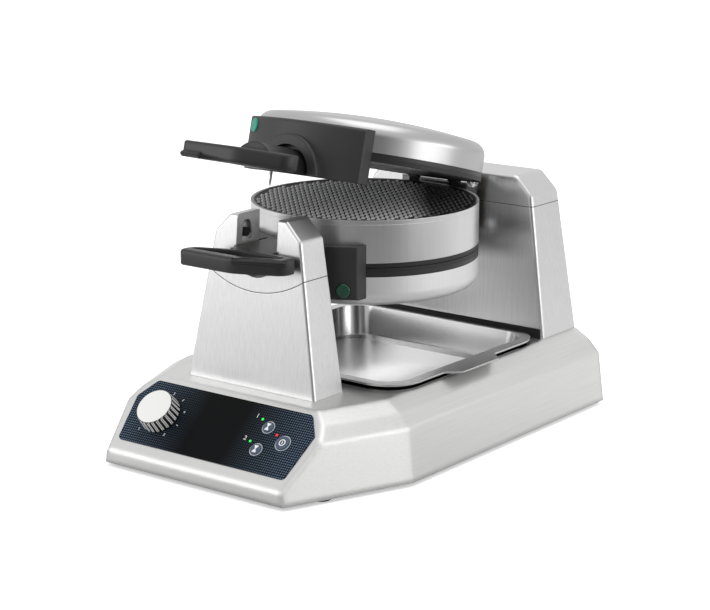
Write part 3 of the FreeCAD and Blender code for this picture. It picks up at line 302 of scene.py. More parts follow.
# %% Moulded and coated finishes
# relief of the moulding texture: its strength, and its depth in mm
texture_strength, texture_depth = 0.08, 0.1


def moulded(name, colour, roughness, grain=0.35, edge=0.8):
    """Moulded plastic with a fine texture, grain in mm, that breaks up its highlights."""
    material, tree, shader = surface(name, colour, roughness=roughness)
    place = add(tree, "ShaderNodeTexCoord").outputs["Object"]
    noise = add(tree, "ShaderNodeTexNoise", {"Vector": place, "Scale": 1 / (grain * mm)})
    relief(tree, shader, noise.outputs["Fac"], texture_strength, texture_depth, edge)
    return material


def painted_shade_coating(name, light, dark, across, start, end):
    """Coating with painted shade: it darkens from start to end (mm from the drum's axis) along a direction over
    the plate.
    """
    material = moulded(name, light, roughness=0.35, grain=0.5, edge=0.2)
    tree = material.node_tree
    place = add(tree, "ShaderNodeTexCoord").outputs["Object"]
    offset = add(tree, "ShaderNodeVectorMath", {0: place, 1: drum_centre}, operation="SUBTRACT")
    reach = add(tree, "ShaderNodeVectorMath", {0: offset.outputs[0], 1: across}, operation="DOT_PRODUCT")
    fade = add(tree, "ShaderNodeMapRange", {
        "Value": reach.outputs["Value"], "From Min": start * mm, "From Max": end * mm})
    tint = add(tree, "ShaderNodeMix", {
        0: fade.outputs["Result"], 6: linear(light), 7: linear(dark)}, data_type="RGBA")
    tree.links.new(tint.outputs[2], tree.nodes["Principled BSDF"].inputs["Base Color"])
    return material


# direction over the plate along which the coating darkens as painted shade under the lid: back and to the right
toward_hinge = (0.794, 0.607, 0.0)
finishes.update({
    # charcoal phenolic of the front blocks, soft grey gradients
    "phenolic": moulded("phenolic, charcoal", "2b2b2c", 0.46),
    # the same phenolic where a hand has rounded and polished it, so that edges catch a soft line
    "phenolic_soft": moulded("phenolic, handles", "222223", 0.4, edge=2.6),
    # ring between dish and plate, nearly black
    "ring_black": moulded("heat ring, black", "1d1d1e", 0.38, edge=0.5),
    # cast hinge arms, black with a clear gleam
    "hinge_black": moulded("coated casting, black", "262627", 0.22),
    # dark coating of the grills, a low sheen
    "nonstick": moulded("non-stick coating, dark", "101011", 0.5, grain=0.5, edge=0.3),
    # the same coating on the studs, lighter as painted highlight where they stand up, and darker toward the hinge
    # as painted shade under the lid
    "stud_grey": painted_shade_coating("non-stick coating, studs, painted highlight and shade", "c4c4c4", "2c2c2d", toward_hinge, 34, 52),
    # side of the knob, black behind its lines of painted highlight
    "knob_black": moulded("knob plastic, black", "161617", 0.35, edge=0.3),
    # face of the knob, a clean warm white
    "knob_white": moulded("knob face, white", "f0f0ee", 0.45, edge=0.3),
    # push buttons, a dull blue-grey under their symbols
    "button_slate": moulded("button rubber, slate blue", "47566a", 0.5, edge=0.3),
    # shadow in the joints between sheet-metal pieces
    "seam_dark": moulded("joint shadow, dark grey", "2a2a2a", 0.8, edge=0.0),
    # feet and buffers, black with no gloss, and the strip of painted shade at the tower's foot
    "rubber": moulded("rubber, black", "19191a", 0.75),
    # inlet and inner mouldings, plain black
    "black_plastic": moulded("plastic, black", "1c1c1d", 0.45),
    # strip that the necks turn on, a waxy grey
    "liner": moulded("bearing strip, grey", "8b8880", 0.5, edge=0.2),
    # circuit board, lacquer green
    "board": moulded("circuit board, green", "1f4a34", 0.5, edge=0.2),
    # white print on the panel, also the painted highlights on the knob's ribs
    "white_print_and_highlight": moulded("panel print and knob highlights, white", "f2f2f2", 0.55, edge=0.0),
    # light-grey ring round each button
    "print_grey": moulded("panel print, light grey", "c4ccd4", 0.5, edge=0.0),
    # sheet under the tray, black as painted shade in the slit below its rim
    "well_shade": moulded("sheet under the tray, black as painted shade", "0c0c0d", 0.7, edge=0.0),
})
print("finishes so far:", len(finishes))

# %% Metals, lenses and lights


def glowing(name, colour, strength):
    """Lit indicator: a small bright dome."""
    return even(name, colour, roughness=0.2, emission_color=linear(colour), emission_strength=strength)


finishes.update({
    # bare rim of the cast plate, a mid-grey ring round the dark field
    "rim_grey": even("turned aluminium rim", "6f6f70", metallic=1.0, roughness=0.35),
    # polished pin heads, mirror bright
    "chrome": even("chrome, polished", "e6e6e6", metallic=1.0, roughness=0.08),
    # plated plates in the horns, bright but not mirror smooth
    "bright_plate": even("nickel plate, bright", "f2f2f2", metallic=1.0, roughness=0.3),
    # plated hinge casting, darker as painted shade for the half that sits in shadow
    "hinge_plate": even("nickel plate, hinge casting", "8c8c8c", metallic=1.0, roughness=0.16),
    # bush in the tower, a warm brown metal
    "bearing": even("bronze bush", "9a7d52", metallic=1.0, roughness=0.4),
    # core of the transformer, dull dark iron
    "iron_core": even("laminated iron", "55534f", metallic=1.0, roughness=0.5),
    # mains terminals, cream plastic
    "terminal": even("terminal block", "e2ddd0", roughness=0.5),
    # heater sheath, heat-browned and dull
    "element": even("heating element", "4d4a47", metallic=1.0, roughness=0.55),
    # upper lamp, a milky lens with a deep colour
    "lens_teal": even("lamp lens, teal", "2a9a82", roughness=0.3, specular_ior_level=0.3),
    # lower lamp, darker and glossy, bright where it catches the light
    "lens_green": even("lamp lens, green", "0f4a34", roughness=0.12, specular_ior_level=0.7),
    # timer lights, lit green
    "led_green": glowing("indicator, green", "25d84a", 1.2),
    # mains light, lit red
    "led_red": glowing("indicator, red", "e8222c", 1.2),
})
print("finishes in all:", len(finishes))

# %% [markdown]
# ## Panel film
# The panel carries a printed film: a fine slate grid on the outer thirds that fades to black in the middle.
# The cells could be hundreds of small squares, but they are flat ink, so a shader draws them.
# It measures along the panel's own two directions, so the cells keep their size in millimetres.

# %% Panel film
film_black, film_slate = "050608", "576b80"
# size of a cell, and half of its inked square as a share of the cell
cell_size, cell_half = 2.0 * mm, 0.29
# how far from the middle the grid starts to show, and where it shows in full
fade_start, fade_end = 20 * mm, 76 * mm
# each sum takes the last one on: how far a point lies from the middle of its cell, and whether it is inked
cell_sums = [("DIVIDE", cell_size), ("FRACT", 0.0), ("SUBTRACT", 0.5), ("ABSOLUTE", 0.0),
             ("LESS_THAN", cell_half)]


def panel_film():
    """Black film with a fine blue-grey grid of cells toward both sides."""
    material, tree, shader = surface(
        "printed film, black with slate grid", film_black, roughness=0.45, specular_ior_level=0.08)
    place = add(tree, "ShaderNodeTexCoord").outputs["Object"]
    measures, inked = [], []
    for direction in (sideways, panel_up):
        along = add(tree, "ShaderNodeVectorMath", {0: place, 1: direction}, operation="DOT_PRODUCT")
        value = along.outputs["Value"]
        measures.append(value)
        for operation, amount in cell_sums:
            value = add(tree, "ShaderNodeMath", {0: value, 1: amount}, operation=operation).outputs[0]
        inked.append(value)
    cells = add(tree, "ShaderNodeMath", {0: inked[0], 1: inked[1]}, operation="MULTIPLY").outputs[0]
    reach = add(tree, "ShaderNodeMath", {0: measures[0]}, operation="ABSOLUTE").outputs[0]
    fade = add(tree, "ShaderNodeMapRange", {"Value": reach, "From Min": fade_start, "From Max": fade_end})
    ink_share = add(tree, "ShaderNodeMath", {0: cells, 1: fade.outputs["Result"]}, operation="MULTIPLY")
    tint = add(tree, "ShaderNodeMix", {
        0: ink_share.outputs[0], 6: linear(film_black), 7: linear(film_slate)}, data_type="RGBA")
    tree.links.new(tint.outputs[2], shader.inputs["Base Color"])
    return material


finishes["overlay_black"] = panel_film()
print("panel film cells:", round(cell_size / mm, 1), "mm")

# %% [markdown]
# ## Finishes on the CAD pieces
# Most pieces are finished by their shader alone: the CAD surfaces are already the true shape.
# Each node is named once, beside the finish it takes, so a change of finish is a change in one place.

# %% Finish for each node
lid_finishes = {
    "lid_ring": "ring_black", "lid_plate": "nonstick", "lid_heater": "element", "lid_posts": "inner_steel",
    "front_block": "phenolic", "block_screws": "inner_steel", "handle": "phenolic_soft",
    "hinge_arm": "hinge_black",
}
node_finishes = {
    "base_shell": "body_steel", "base_floor": "inner_steel", "feet": "rubber", "foot_screws": "inner_steel",
    "tray_well": "well_shade", "control_overlay": "overlay_black", "control_board": "board",
    "board_spacers": "black_plastic", "thermostat": "black_plastic", "start_leds": "led_green",
    "power_led": "led_red", "transformer": "iron_core", "terminal_block": "terminal",
    "cord_gland": "black_plastic", "front_column": "tower_steel", "cradle_cap": "tower_steel",
    "cradle_liner": "liner", "buffer_plates": "bright_plate", "buffers": "rubber",
    "rear_tower": "tower_steel", "tower_cap": "tower_steel", "rear_bearing": "bearing",
    "stop_pin": "inner_steel", "centre_band": "lid_steel", "upper_plate": "nonstick",
    "lower_plate": "nonstick", "centre_heaters": "element", "plate_posts": "inner_steel",
    "rotor_shaft": "inner_steel", "shaft_collar": "inner_steel", "hinge_block": "hinge_plate",
    "hinge_pins": "chrome", "upper_lid_cover": "lid_polished_shaded", "lower_lid_cover": "dish_satin",
    "upper_lamp": "lens_teal", "lower_lamp": "lens_green", "guide_rod": "chrome",
    "knob_skirt": "knob_black", "knob_face": "knob_white", "knob_shaft": "inner_steel",
    "start_button_1": "button_slate", "start_button_2": "button_slate", "power_button": "button_slate",
    "drip_tray": "tray_steel",
}
for side in ("upper", "lower"):
    node_finishes.update({f"{side}_{piece}": finish for piece, finish in lid_finishes.items()})
for name, finish in node_finishes.items():
    mesh = nodes[name].data
    mesh.materials.clear()
    mesh.materials.append(finishes[finish])
print("nodes with a finish:", len(node_finishes), "of", len(nodes))

# %% [markdown]
# ## Rim of the middle plate
# The top plate is cast aluminium: coated inside, but bare where its rim is turned to meet the band.
# The rim could be a ring of its own, but it is one casting with the plate.
# So a joined copy of the CAD plate takes three finishes, chosen by which way each face looks.

# %% Plate with a bare rim
rim_inside, rim_outside = 89.0 * mm, 91.5 * mm
# how much of a face's normal points up: less on an upright face, more on a level one
upright, level = 0.3, 0.9
coated, bare_side, bare_top = range(3)
plate_mesh = mesh_from(joined_copy("upper_plate"))
stand_in("upper_plate_dressed", "upper_plate", plate_mesh, "nonstick", angle=30)
plate_mesh.materials.append(finishes["lid_steel"])
plate_mesh.materials.append(finishes["rim_grey"])
for face in plate_mesh.polygons:
    nearest = min((plate_mesh.vertices[v].co - drum_centre).xy.length for v in face.vertices)
    if abs(face.normal.z) < upright and nearest > rim_outside:
        face.material_index = bare_side
    elif face.normal.z > level and nearest > rim_inside:
        face.material_index = bare_top
print("rim faces:", sum(face.material_index != coated for face in plate_mesh.polygons))

# %% [markdown]
# ## Trees that make repeated forms
# A Geometry Nodes tree holds the rule of a form that repeats or follows an edge, with its sizes as inputs.
# The export keeps only plain meshes, so each tree is run once on a helper object that is then removed.

# %% Tree helpers


def geometry_tree(name, inputs):
    """Geometry Nodes tree with named inputs and no nodes yet. Returns the tree and its input sockets."""
    tree = bpy.data.node_groups.new(name, "GeometryNodeTree")
    tree.interface.new_socket("Geometry", in_out="INPUT", socket_type="NodeSocketGeometry")
    sockets = {}
    for label, (kind, _) in inputs.items():
        sockets[label] = tree.interface.new_socket(label, in_out="INPUT", socket_type=kind)
    tree.interface.new_socket("Geometry", in_out="OUTPUT", socket_type="NodeSocketGeometry")
    return tree, sockets


def end_tree(tree, geometry, material):
    """Makes what a tree holds real, gives it its material and leads it out."""
    real = add(tree, "GeometryNodeRealizeInstances", {"Geometry": geometry})
    finished = add(tree, "GeometryNodeSetMaterial", {"Geometry": real.outputs[0], "Material": material})
    add(tree, "NodeGroupOutput", {"Geometry": finished.outputs[0]})


def run_tree(tree, sockets, inputs, seed):
    """Plain mesh that the tree makes from a seed mesh, with its inputs set by identifier."""
    holder = in_scene(tree.name, seed)
    modifier = holder.modifiers.new(tree.name, "NODES")
    modifier.node_group = tree
    for label, (_, value) in inputs.items():
        modifier[sockets[label].identifier] = value
    return plain_mesh(holder)


print("tree helpers ready")

# %% [markdown]
# ## Grill pattern
# Cone waffles get their pattern from rows of small blunt studs cast into every plate.
# Two lines of points crossed with each other make the slanted lattice; a stud is set on each point inside
# the field. Bumps in a shader would look the same from above but flat from the side, where the photo looks.
# The same tree serves all four plates, and only the final plain mesh is kept.

# %% Stud lattice
stud_sides, stud_lines = 6, 37
row_step, column_step = Vector((6.75, -2.0, 0.0)), Vector((-0.56, 6.26, 0.0))
first_line = -(stud_lines - 1) / 2
stud_inputs = {
    "Lines": ("NodeSocketInt", stud_lines),
    "Row Start": ("NodeSocketVector", tuple(first_line * row_step)),
    "Row Step": ("NodeSocketVector", tuple(row_step)),
    "Column Start": ("NodeSocketVector", tuple(first_line * column_step)),
    "Column Step": ("NodeSocketVector", tuple(column_step)),
    "Field Radius": ("NodeSocketFloat", 86.0),
    "Stud Sides": ("NodeSocketInt", stud_sides),
    "Stud Foot": ("NodeSocketFloat", 1.95),
    "Stud Top": ("NodeSocketFloat", 1.15),
    "Stud Height": ("NodeSocketFloat", 1.5),
    "Coating": ("NodeSocketMaterial", finishes["stud_grey"]),
}
lattice, lattice_sockets = geometry_tree("grill studs", stud_inputs)
given = add(lattice, "NodeGroupInput").outputs
row = add(lattice, "GeometryNodeMeshLine", {
    "Count": given["Lines"], "Start Location": given["Row Start"], "Offset": given["Row Step"]})
column = add(lattice, "GeometryNodeMeshLine", {
    "Count": given["Lines"], "Start Location": given["Column Start"], "Offset": given["Column Step"]})
crossed = add(lattice, "GeometryNodeInstanceOnPoints", {
    "Points": row.outputs["Mesh"], "Instance": column.outputs["Mesh"]})
grid = add(lattice, "GeometryNodeRealizeInstances", {"Geometry": crossed.outputs["Instances"]})
position = add(lattice, "GeometryNodeInputPosition").outputs[0]
distance = add(lattice, "ShaderNodeVectorMath", {0: position}, operation="LENGTH")
outside = add(lattice, "FunctionNodeCompare", {
    0: distance.outputs["Value"], 1: given["Field Radius"]}, operation="GREATER_THAN")
field = add(lattice, "GeometryNodeDeleteGeometry", {
    "Geometry": grid.outputs["Geometry"], "Selection": outside.outputs[0]})
stud = add(lattice, "GeometryNodeMeshCone", {
    "Vertices": given["Stud Sides"], "Radius Top": given["Stud Top"],
    "Radius Bottom": given["Stud Foot"], "Depth": given["Stud Height"]})
studs = add(lattice, "GeometryNodeInstanceOnPoints", {
    "Points": field.outputs["Geometry"], "Instance": stud.outputs["Mesh"]})
end_tree(lattice, studs.outputs["Instances"], given["Coating"])
stud_mesh = run_tree(lattice, lattice_sockets, stud_inputs, from_points([(0, 0, 0)], []))
print("studs per plate:", len(stud_mesh.polygons) // (stud_sides + 2))

# %% [markdown]
# ## Studs on the four plates
# The drum's middle has a plate on each side, and each lid brings the plate that closes on it.
# One mesh is copied to all four and hung on the drum or on a lid, so the halves part when a lid opens.

# %% Stud sets
# heights of the studs over the drum's middle, in mm
middle_field, lid_field = 16.9, 20.6
on_middle = Matrix.Translation((0, 0, middle_field))
on_lid = Matrix.Translation((0, 0, lid_field)) @ Matrix.Rotation(math.pi, 4, "X")
plate_fields = {
    "upper_plate_studs": ("rotor", drum_frame @ on_middle),
    "lower_plate_studs": ("rotor", lower_frame @ on_middle),
    "upper_lid_studs": ("upper_lid", upper_frame @ on_lid),
    "lower_lid_studs": ("lower_lid", lower_frame @ on_lid),
}
for name, (body, place) in plate_fields.items():
    mesh = stud_mesh.copy()
    mesh.transform(place)
    hang(mesh_object(name, mesh, finishes["stud_grey"]), body)
print("stud sets:", len(plate_fields))

# %% [markdown]
# ## Print on the panel
# The film is printed with plain marks only: numbers for the two sides, a scale round the dial,
# a ring round each button, an hourglass for the timers and a circle with a bar for the mains switch.
# A picture on the film could hold them too, but it would blur close up.
# Here each mark is a very thin solid that stands a hair above the film, so it shows from every side.

# %% Flat shapes on the panel
ink = 0.06


def prism(outline, low, high):
    """Points and faces of a flat shape between two heights."""
    count = len(outline)
    points = [(x, y, z) for z in (low, high) for x, y in outline]
    sides = [(i, (i + 1) % count, count + (i + 1) % count, count + i) for i in range(count)]
    return points, sides + [tuple(range(count, 2 * count)), tuple(reversed(range(count)))]


def ring(centre, inner, outer, low, high, parts=40):
    """Points and faces of a flat ring between two heights."""
    points, faces = [], []
    for i in range(parts):
        turn = 2 * math.pi * i / parts
        across, upward = math.sin(turn), math.cos(turn)
        for radius in (inner, outer):
            points += [(centre[0] + radius * across, centre[1] + radius * upward, z) for z in (low, high)]
        a, b = 4 * i, 4 * ((i + 1) % parts)
        faces += [(a + 1, a + 3, b + 3, b + 1), (a, b, b + 2, a + 2),
                  (a, a + 1, b + 1, b), (a + 2, b + 2, b + 3, a + 3)]
    return points, faces


def panel_mesh(shapes):
    """One mesh from several point and face lists, laid on the panel."""
    points, faces = [], []
    for shape_points, shape_faces in shapes:
        faces += [tuple(len(points) + i for i in face) for face in shape_faces]
        points += shape_points
    mesh = from_points(points, faces)
    work = bmesh.new()
    work.from_mesh(mesh)
    bmesh.ops.recalc_face_normals(work, faces=work.faces)
    work.to_mesh(mesh)
    work.free()
    mesh.transform(panel_frame)
    return mesh


def print_mark(name, mesh, finish="white_print_and_highlight", body="base"):
    """Hangs one printed mark."""
    hang(mesh_object(name, mesh, finishes[finish]), body)


print("ink stands", ink, "mm over the film")

# %% Numbers and dial scale
side_number_size, dial_number_size = 5.2, 3.4
side_numbers = {"side_numeral_1": ("1", (30.5, 56.6)), "side_numeral_2": ("2", (30.5, 36.5))}


def numeral(digit, centre, size):
    """Plain number as a thin mesh on the panel."""
    curve = bpy.data.curves.new("numeral", "FONT")
    curve.body = digit
    curve.size = size
    curve.align_x, curve.align_y = "CENTER", "CENTER"
    curve.extrude = ink / 2
    mesh = plain_mesh(in_scene("numeral", curve))
    mesh.transform(panel_frame @ Matrix.Translation((centre[0], centre[1], ink / 2)))
    return mesh


for name, (digit, place) in side_numbers.items():
    print_mark(name, numeral(digit, place, side_number_size))

scale_radius, scale_start, scale_step, scale_marks = 20.2, -140.0, 35.0, 9
tick_half_width, tick_half_length = 0.25, 1.1
for i in range(scale_marks):
    angle = math.radians(scale_start + scale_step * i)
    outward = Vector((math.sin(angle), math.cos(angle)))
    place = Vector(knob_place) + outward * scale_radius
    if i % 2 == 0:
        mesh = numeral(str(1 + i // 2), place, dial_number_size)
    else:
        across = Vector((outward.y, -outward.x)) * tick_half_width
        tip = outward * tick_half_length
        corners = [place - across - tip, place + across - tip, place + across + tip, place - across + tip]
        mesh = panel_mesh([prism([tuple(corner) for corner in corners], 0.0, ink)])
    print_mark(f"dial_mark_{i}", mesh)
print("dial marks:", scale_marks)

# %% Button rings and symbols
# each button's place on the panel, and its radius
buttons = {
    "start_button_1": ((45.2, 49.2), 4.6),
    "start_button_2": ((45.2, 29.3), 4.6),
    "power_button": ((64.9, 39.2), 5.7),
}
ring_gap, ring_width = 0.15, 0.7
glass_width, glass_height, glass_shoulder, glass_waist = 1.8, 3.0, 2.4, 0.3
bar_width, bar_height = 0.35, 1.1
circle_inside, circle_outside = 2.0, 2.8


def top_of(node):
    """Height of a piece's top over the film, in mm."""
    return (panel_height(node) - film_height) / mm


def moved(outline, centre):
    return [(centre[0] + x, centre[1] + y) for x, y in outline]


rings = []
for place, radius in buttons.values():
    inner = radius + ring_gap
    rings.append(ring(place, inner, inner + ring_width, 0.0, ink))
print_mark("button_rings", panel_mesh(rings), "print_grey")

half_glass = [(glass_width, glass_height), (glass_width, glass_shoulder), (glass_waist, 0.0),
              (glass_width, -glass_shoulder), (glass_width, -glass_height)]
hourglass = half_glass + [(-x, y) for x, y in reversed(half_glass)]
for name in ("start_button_1", "start_button_2"):
    top = top_of(name)
    glass = prism(moved(hourglass, buttons[name][0]), top - ink / 2, top + ink / 2)
    print_mark(name + "_symbol", panel_mesh([glass]), body=body_of[name])

place = buttons["power_button"][0]
top = top_of("power_button")
bar_outline = [(-bar_width, -bar_height), (bar_width, -bar_height),
               (bar_width, bar_height), (-bar_width, bar_height)]
circle = ring(place, circle_inside, circle_outside, top - ink / 2, top + ink / 2)
bar = prism(moved(bar_outline, place), top - ink / 2, top + ink / 2)
print_mark("power_symbol", panel_mesh([circle, bar]), body="power")
print("buttons marked:", len(buttons))

# %% [markdown]
# ## Indicator lights and the knob's face
# The lights are small domes that stand in the film, and the knob wears a flat white cap up to its ribs.
# Both are turned shapes, so each is drawn as a profile swept round its own axis on the panel.
# A sphere or a cylinder would need cutting to fit; a profile gives the rounded edge at once.

# %% Domes and knob cap


def turned_on_panel(centre, profile, parts):
    """Closed turned shape: profile is a list of (radius, height) from the lower pole to the upper pole."""
    points = [(centre[0], centre[1], profile[0][1])]
    for radius, height in profile[1:-1]:
        for i in range(parts):
            turn = 2 * math.pi * i / parts
            points.append((centre[0] + radius * math.cos(turn), centre[1] + radius * math.sin(turn), height))
    points.append((centre[0], centre[1], profile[-1][1]))
    last = len(points) - 1
    faces = [(0, 1 + (i + 1) % parts, 1 + i) for i in range(parts)]
    for level_index in range(len(profile) - 3):
        low, high = 1 + level_index * parts, 1 + (level_index + 1) * parts
        faces += [(low + i, low + (i + 1) % parts, high + (i + 1) % parts, high + i) for i in range(parts)]
    top_ring = last - parts
    faces += [(top_ring + i, top_ring + (i + 1) % parts, last) for i in range(parts)]
    return points, faces


light_radius, light_sunk, light_shoulder, dome_rise = 0.95, 0.3, 0.2, 0.5
dome = [(0.0, -light_sunk), (light_radius, -light_sunk)]
for degrees in (90, 52, 25, 0):
    slope = math.radians(degrees)
    dome.append((light_radius * math.sin(slope), light_shoulder + dome_rise * math.cos(slope)))
# from a button's middle to its light
light_step = Vector((-8.9, 5.6))
lights = {"start_leds": ("start_button_1", "start_button_2"), "power_led": ("power_button",)}
for node, owners in lights.items():
    domes = [turned_on_panel(Vector(buttons[owner][0]) + light_step, dome, parts=20) for owner in owners]
    stand_in(node + "_domes", node, panel_mesh(domes), node_finishes[node], angle=50)

cap_radius, cap_depth, cap_chamfer_width, cap_chamfer_height = 15.0, 0.9, 0.3, 0.35
face_top = top_of("knob_face")
cap = [(0.0, face_top - cap_depth), (cap_radius, face_top - cap_depth),
       (cap_radius, face_top - cap_chamfer_height), (cap_radius - cap_chamfer_width, face_top),
       (0.0, face_top)]
cap_mesh = panel_mesh([turned_on_panel(knob_place, cap, parts=72)])
stand_in("knob_cap", "knob_face", cap_mesh, "knob_white", angle=40)
print("knob face stands", round(face_top, 1), "mm over the film")

# %% [markdown]
# ## The knob's ribs carry thin white lines, painted highlights where the ribs catch the light.
# The knob's ribs carry thin polished lines, which flash white as the knob turns.
# They lie on the tapered side between its grooves, so they are drawn from the knob's own two radii.
# A striped shader could do it too, but thin solid lines keep a crisp edge close up.

# %% Knob lines
knob_foot_radius, knob_top_radius, knob_height = 16.4, 15.2, 12.2
line_low, line_high, line_sunk, line_proud = 1.2, 11.6, -0.3, 0.12
# angles in degrees: half a line's width, and how far a line stands from the middle of its step
line_count, line_half, line_shift = 48, 1.3, 1.55
line_faces = [(2, 3, 7, 6), (0, 4, 5, 1), (0, 2, 6, 4), (1, 5, 7, 3), (0, 1, 3, 2), (4, 6, 7, 5)]
lines = []
for i in range(line_count):
    middle = 360.0 * i / line_count + (line_shift if i % 2 == 0 else -line_shift)
    points = []
    for height in (line_low, line_high):
        radius = knob_foot_radius + (knob_top_radius - knob_foot_radius) * height / knob_height
        for reach in (radius + line_sunk, radius + line_proud):
            for side in (-line_half, line_half):
                angle = math.radians(90.0 - middle + side)
                points.append((knob_place[0] + reach * math.cos(angle),
                               knob_place[1] + reach * math.sin(angle), height))
    lines.append((points, line_faces))
hang(mesh_object("knob_rib_highlights", panel_mesh(lines), finishes["white_print_and_highlight"]), "knob")
print("knob lines:", line_count)

# %% [markdown]
# ## Tray floor
# The tray is pressed from thin sheet, and the flat middle of its floor is rubbed across to an even grey.
# A second finish on the CAD tray would follow its facets, so the rubbed field is a thin plate of its own.
# It has round corners and a soft edge, and lies on the floor of the CAD tray.

# %% Rubbed field of the tray
tray_sheet = 1.2 * mm
field_low, field_high = Vector((-82, -52)) * mm, Vector((66, 108)) * mm
field_corner, field_inset = 26 * mm, 0.6 * mm
# how far its foot lies in the floor, and the heights of its side and its top over that foot
field_sunk, field_side, field_rise = 0.1 * mm, 0.4 * mm, 0.7 * mm


def rounded_field(low, high, radius, parts=10):
    """Corner points of a rectangle with round corners, counter-clockwise."""
    points = []
    centres = [(high.x - radius, high.y - radius), (low.x + radius, high.y - radius),
               (low.x + radius, low.y + radius), (high.x - radius, low.y + radius)]
    for corner, (x, y) in enumerate(centres):
        for i in range(parts + 1):
            angle = math.pi / 2 * (corner + i / parts)
            points.append((x + radius * math.cos(angle), y + radius * math.sin(angle)))
    return points


tray_low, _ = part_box("drip_tray")
foot = tray_low.z + tray_sheet - field_sunk
inset = Vector((field_inset, field_inset))
outer = rounded_field(field_low, field_high, field_corner)
inner = rounded_field(field_low + inset, field_high - inset, field_corner - field_inset)
layers = [(outer, foot), (outer, foot + field_side), (inner, foot + field_rise)]
points = [(x, y, z) for outline, z in layers for x, y in outline]
count = len(outer)
faces = [tuple(range(count - 1, -1, -1)), tuple(range(2 * count, 3 * count))]
for start in (0, count):
    for i in range(count):
        j = (i + 1) % count
        faces.append((start + i, start + j, start + count + j, start + count + i))
field_mesh = from_points(points, faces)
smooth(field_mesh, angle=30)
tray_field = mesh_object("tray_field", field_mesh, finishes["tray_satin"])
# its upright sides take the darker inner steel, painted shade along the step of the field
field_mesh.materials.append(finishes["inner_steel"])
for face in field_mesh.polygons:
    face.material_index = int(face.normal.z < level)
hang(tray_field, "tray")
print("tray field:", [round(side / mm) for side in field_high - field_low], "mm")

# %% [markdown]
# ## Guide rod and painted shade at the tower's foot
# A thin bright rod stands on the upper lid's left side, and a dark strip of painted shade runs along the tower's
# foot.
# The CAD rod is too fine to show at the picture's size, so a copy of it is grown a little along its normals.
# The strip is a plain bar, measured from the tower's own box.

# %% Rod and strip
rod_growth = 0.35 * mm
rod = joined_copy("guide_rod")
rod.normal_update()
for vertex in rod.verts:
    vertex.co += vertex.normal * rod_growth
stand_in("guide_rod_soft", "guide_rod", mesh_from(rod), "chrome", angle=35)

# the dark bar is painted shade along the tower's foot
strip_inset, strip_proud, strip_sunk = 3 * mm, 0.6 * mm, 0.3 * mm
strip_low, strip_high = 0.3 * mm, 8 * mm
tower_low, tower_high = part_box("rear_tower")
left, right = tower_low.x + strip_inset, tower_high.x - strip_inset
front, back = tower_low.y - strip_proud, tower_low.y + strip_sunk
strip_outline = [(left, front), (right, front), (right, back), (left, back)]
foot_strip = from_points(*prism(strip_outline, tower_low.z + strip_low, tower_low.z + strip_high))
hang(mesh_object("tower_foot_dark_strip", foot_strip, finishes["rubber"]), "base")
print("tower seal:", round((right - left) / mm), "mm long")

# %% [markdown]
# ## Softer handles
# The handles are compression moulded, so the outer edges that a hand meets are well rounded.
# CAD keeps those edges square; here they are bevelled on a joined copy that stands in for the CAD piece.
# A bevel modifier would round every edge, the inner slot too, so the edges are picked one by one.

# %% Rounded handles
loop_length, rim_radius = 36 * mm, 2.4 * mm
square = math.radians(60)


def outer_rim(work, loop_end, loop_centre):
    """Square edges on the outside of a handle's loop, away from its slot and its neck."""
    rim = []
    for edge in work.edges:
        if not (edge.is_manifold and edge.is_convex) or edge.calc_face_angle() < square:
            continue
        middle = (edge.verts[0].co + edge.verts[1].co) / 2
        side = min(edge.link_faces, key=lambda face: abs(face.normal.z))
        if middle.y < loop_end and side.normal.xy.dot(middle.xy - loop_centre) > 0:
            rim.append(edge)
    return rim


for node in ("upper_handle", "lower_handle"):
    low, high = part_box(node)
    work = joined_copy(node)
    rim = outer_rim(work, low.y + loop_length, Vector(((low.x + high.x) / 2, low.y + loop_length / 2)))
    print(node, "edges rounded:", len(rim))
    bmesh.ops.bevel(work, geom=rim, offset=rim_radius, offset_type="OFFSET", segments=4, profile=0.5,
                    affect="EDGES", clamp_overlap=False)
    stand_in(node + "_soft", node, mesh_from(work), "phenolic_soft", angle=35)

# %% [markdown]
# ## Seams
# Caps, column and tower are separate sheet-metal pieces, and a fine dark line shows where they meet.
# A real gap of a tenth of a millimetre would vanish at this distance, so the line is given a thin body.
# It runs along the lower outer edges of each cap, which are picked from the cap's own mesh.

# %% Seam cord
cord_sides = 6


def seam_line(name, node, wanted, radius):
    """Thin dark cord along the edges of a CAD piece that pass the test. Returns how many there are."""
    work = joined_copy(node)
    edges = [edge for edge in work.edges if len(edge.link_faces) == 2 and wanted(edge)]
    corners = list(dict.fromkeys(vertex for edge in edges for vertex in edge.verts))
    index = {vertex: i for i, vertex in enumerate(corners)}
    pairs = [[index[vertex] for vertex in edge.verts] for edge in edges]
    wires = from_points([vertex.co.copy() for vertex in corners], [], pairs)
    work.free()
    cord_inputs = {
        "Sides": ("NodeSocketInt", cord_sides),
        "Radius": ("NodeSocketFloat", radius * mm),
        "Finish": ("NodeSocketMaterial", finishes["seam_dark"]),
    }
    cord, cord_sockets = geometry_tree(name, cord_inputs)
    given = add(cord, "NodeGroupInput").outputs
    path = add(cord, "GeometryNodeMeshToCurve", {0: given["Geometry"]})
    circle = add(cord, "GeometryNodeCurvePrimitiveCircle", {
        "Resolution": given["Sides"], "Radius": given["Radius"]})
    tube = add(cord, "GeometryNodeCurveToMesh", {
        "Curve": path.outputs[0], "Profile Curve": circle.outputs[0], "Fill Caps": True})
    end_tree(cord, tube.outputs[0], given["Finish"])
    mesh = run_tree(cord, cord_sockets, cord_inputs, wires)
    hang(mesh_object(name, mesh, finishes["seam_dark"]), body_of[node])
    return len(pairs)


print("cord sides:", cord_sides)

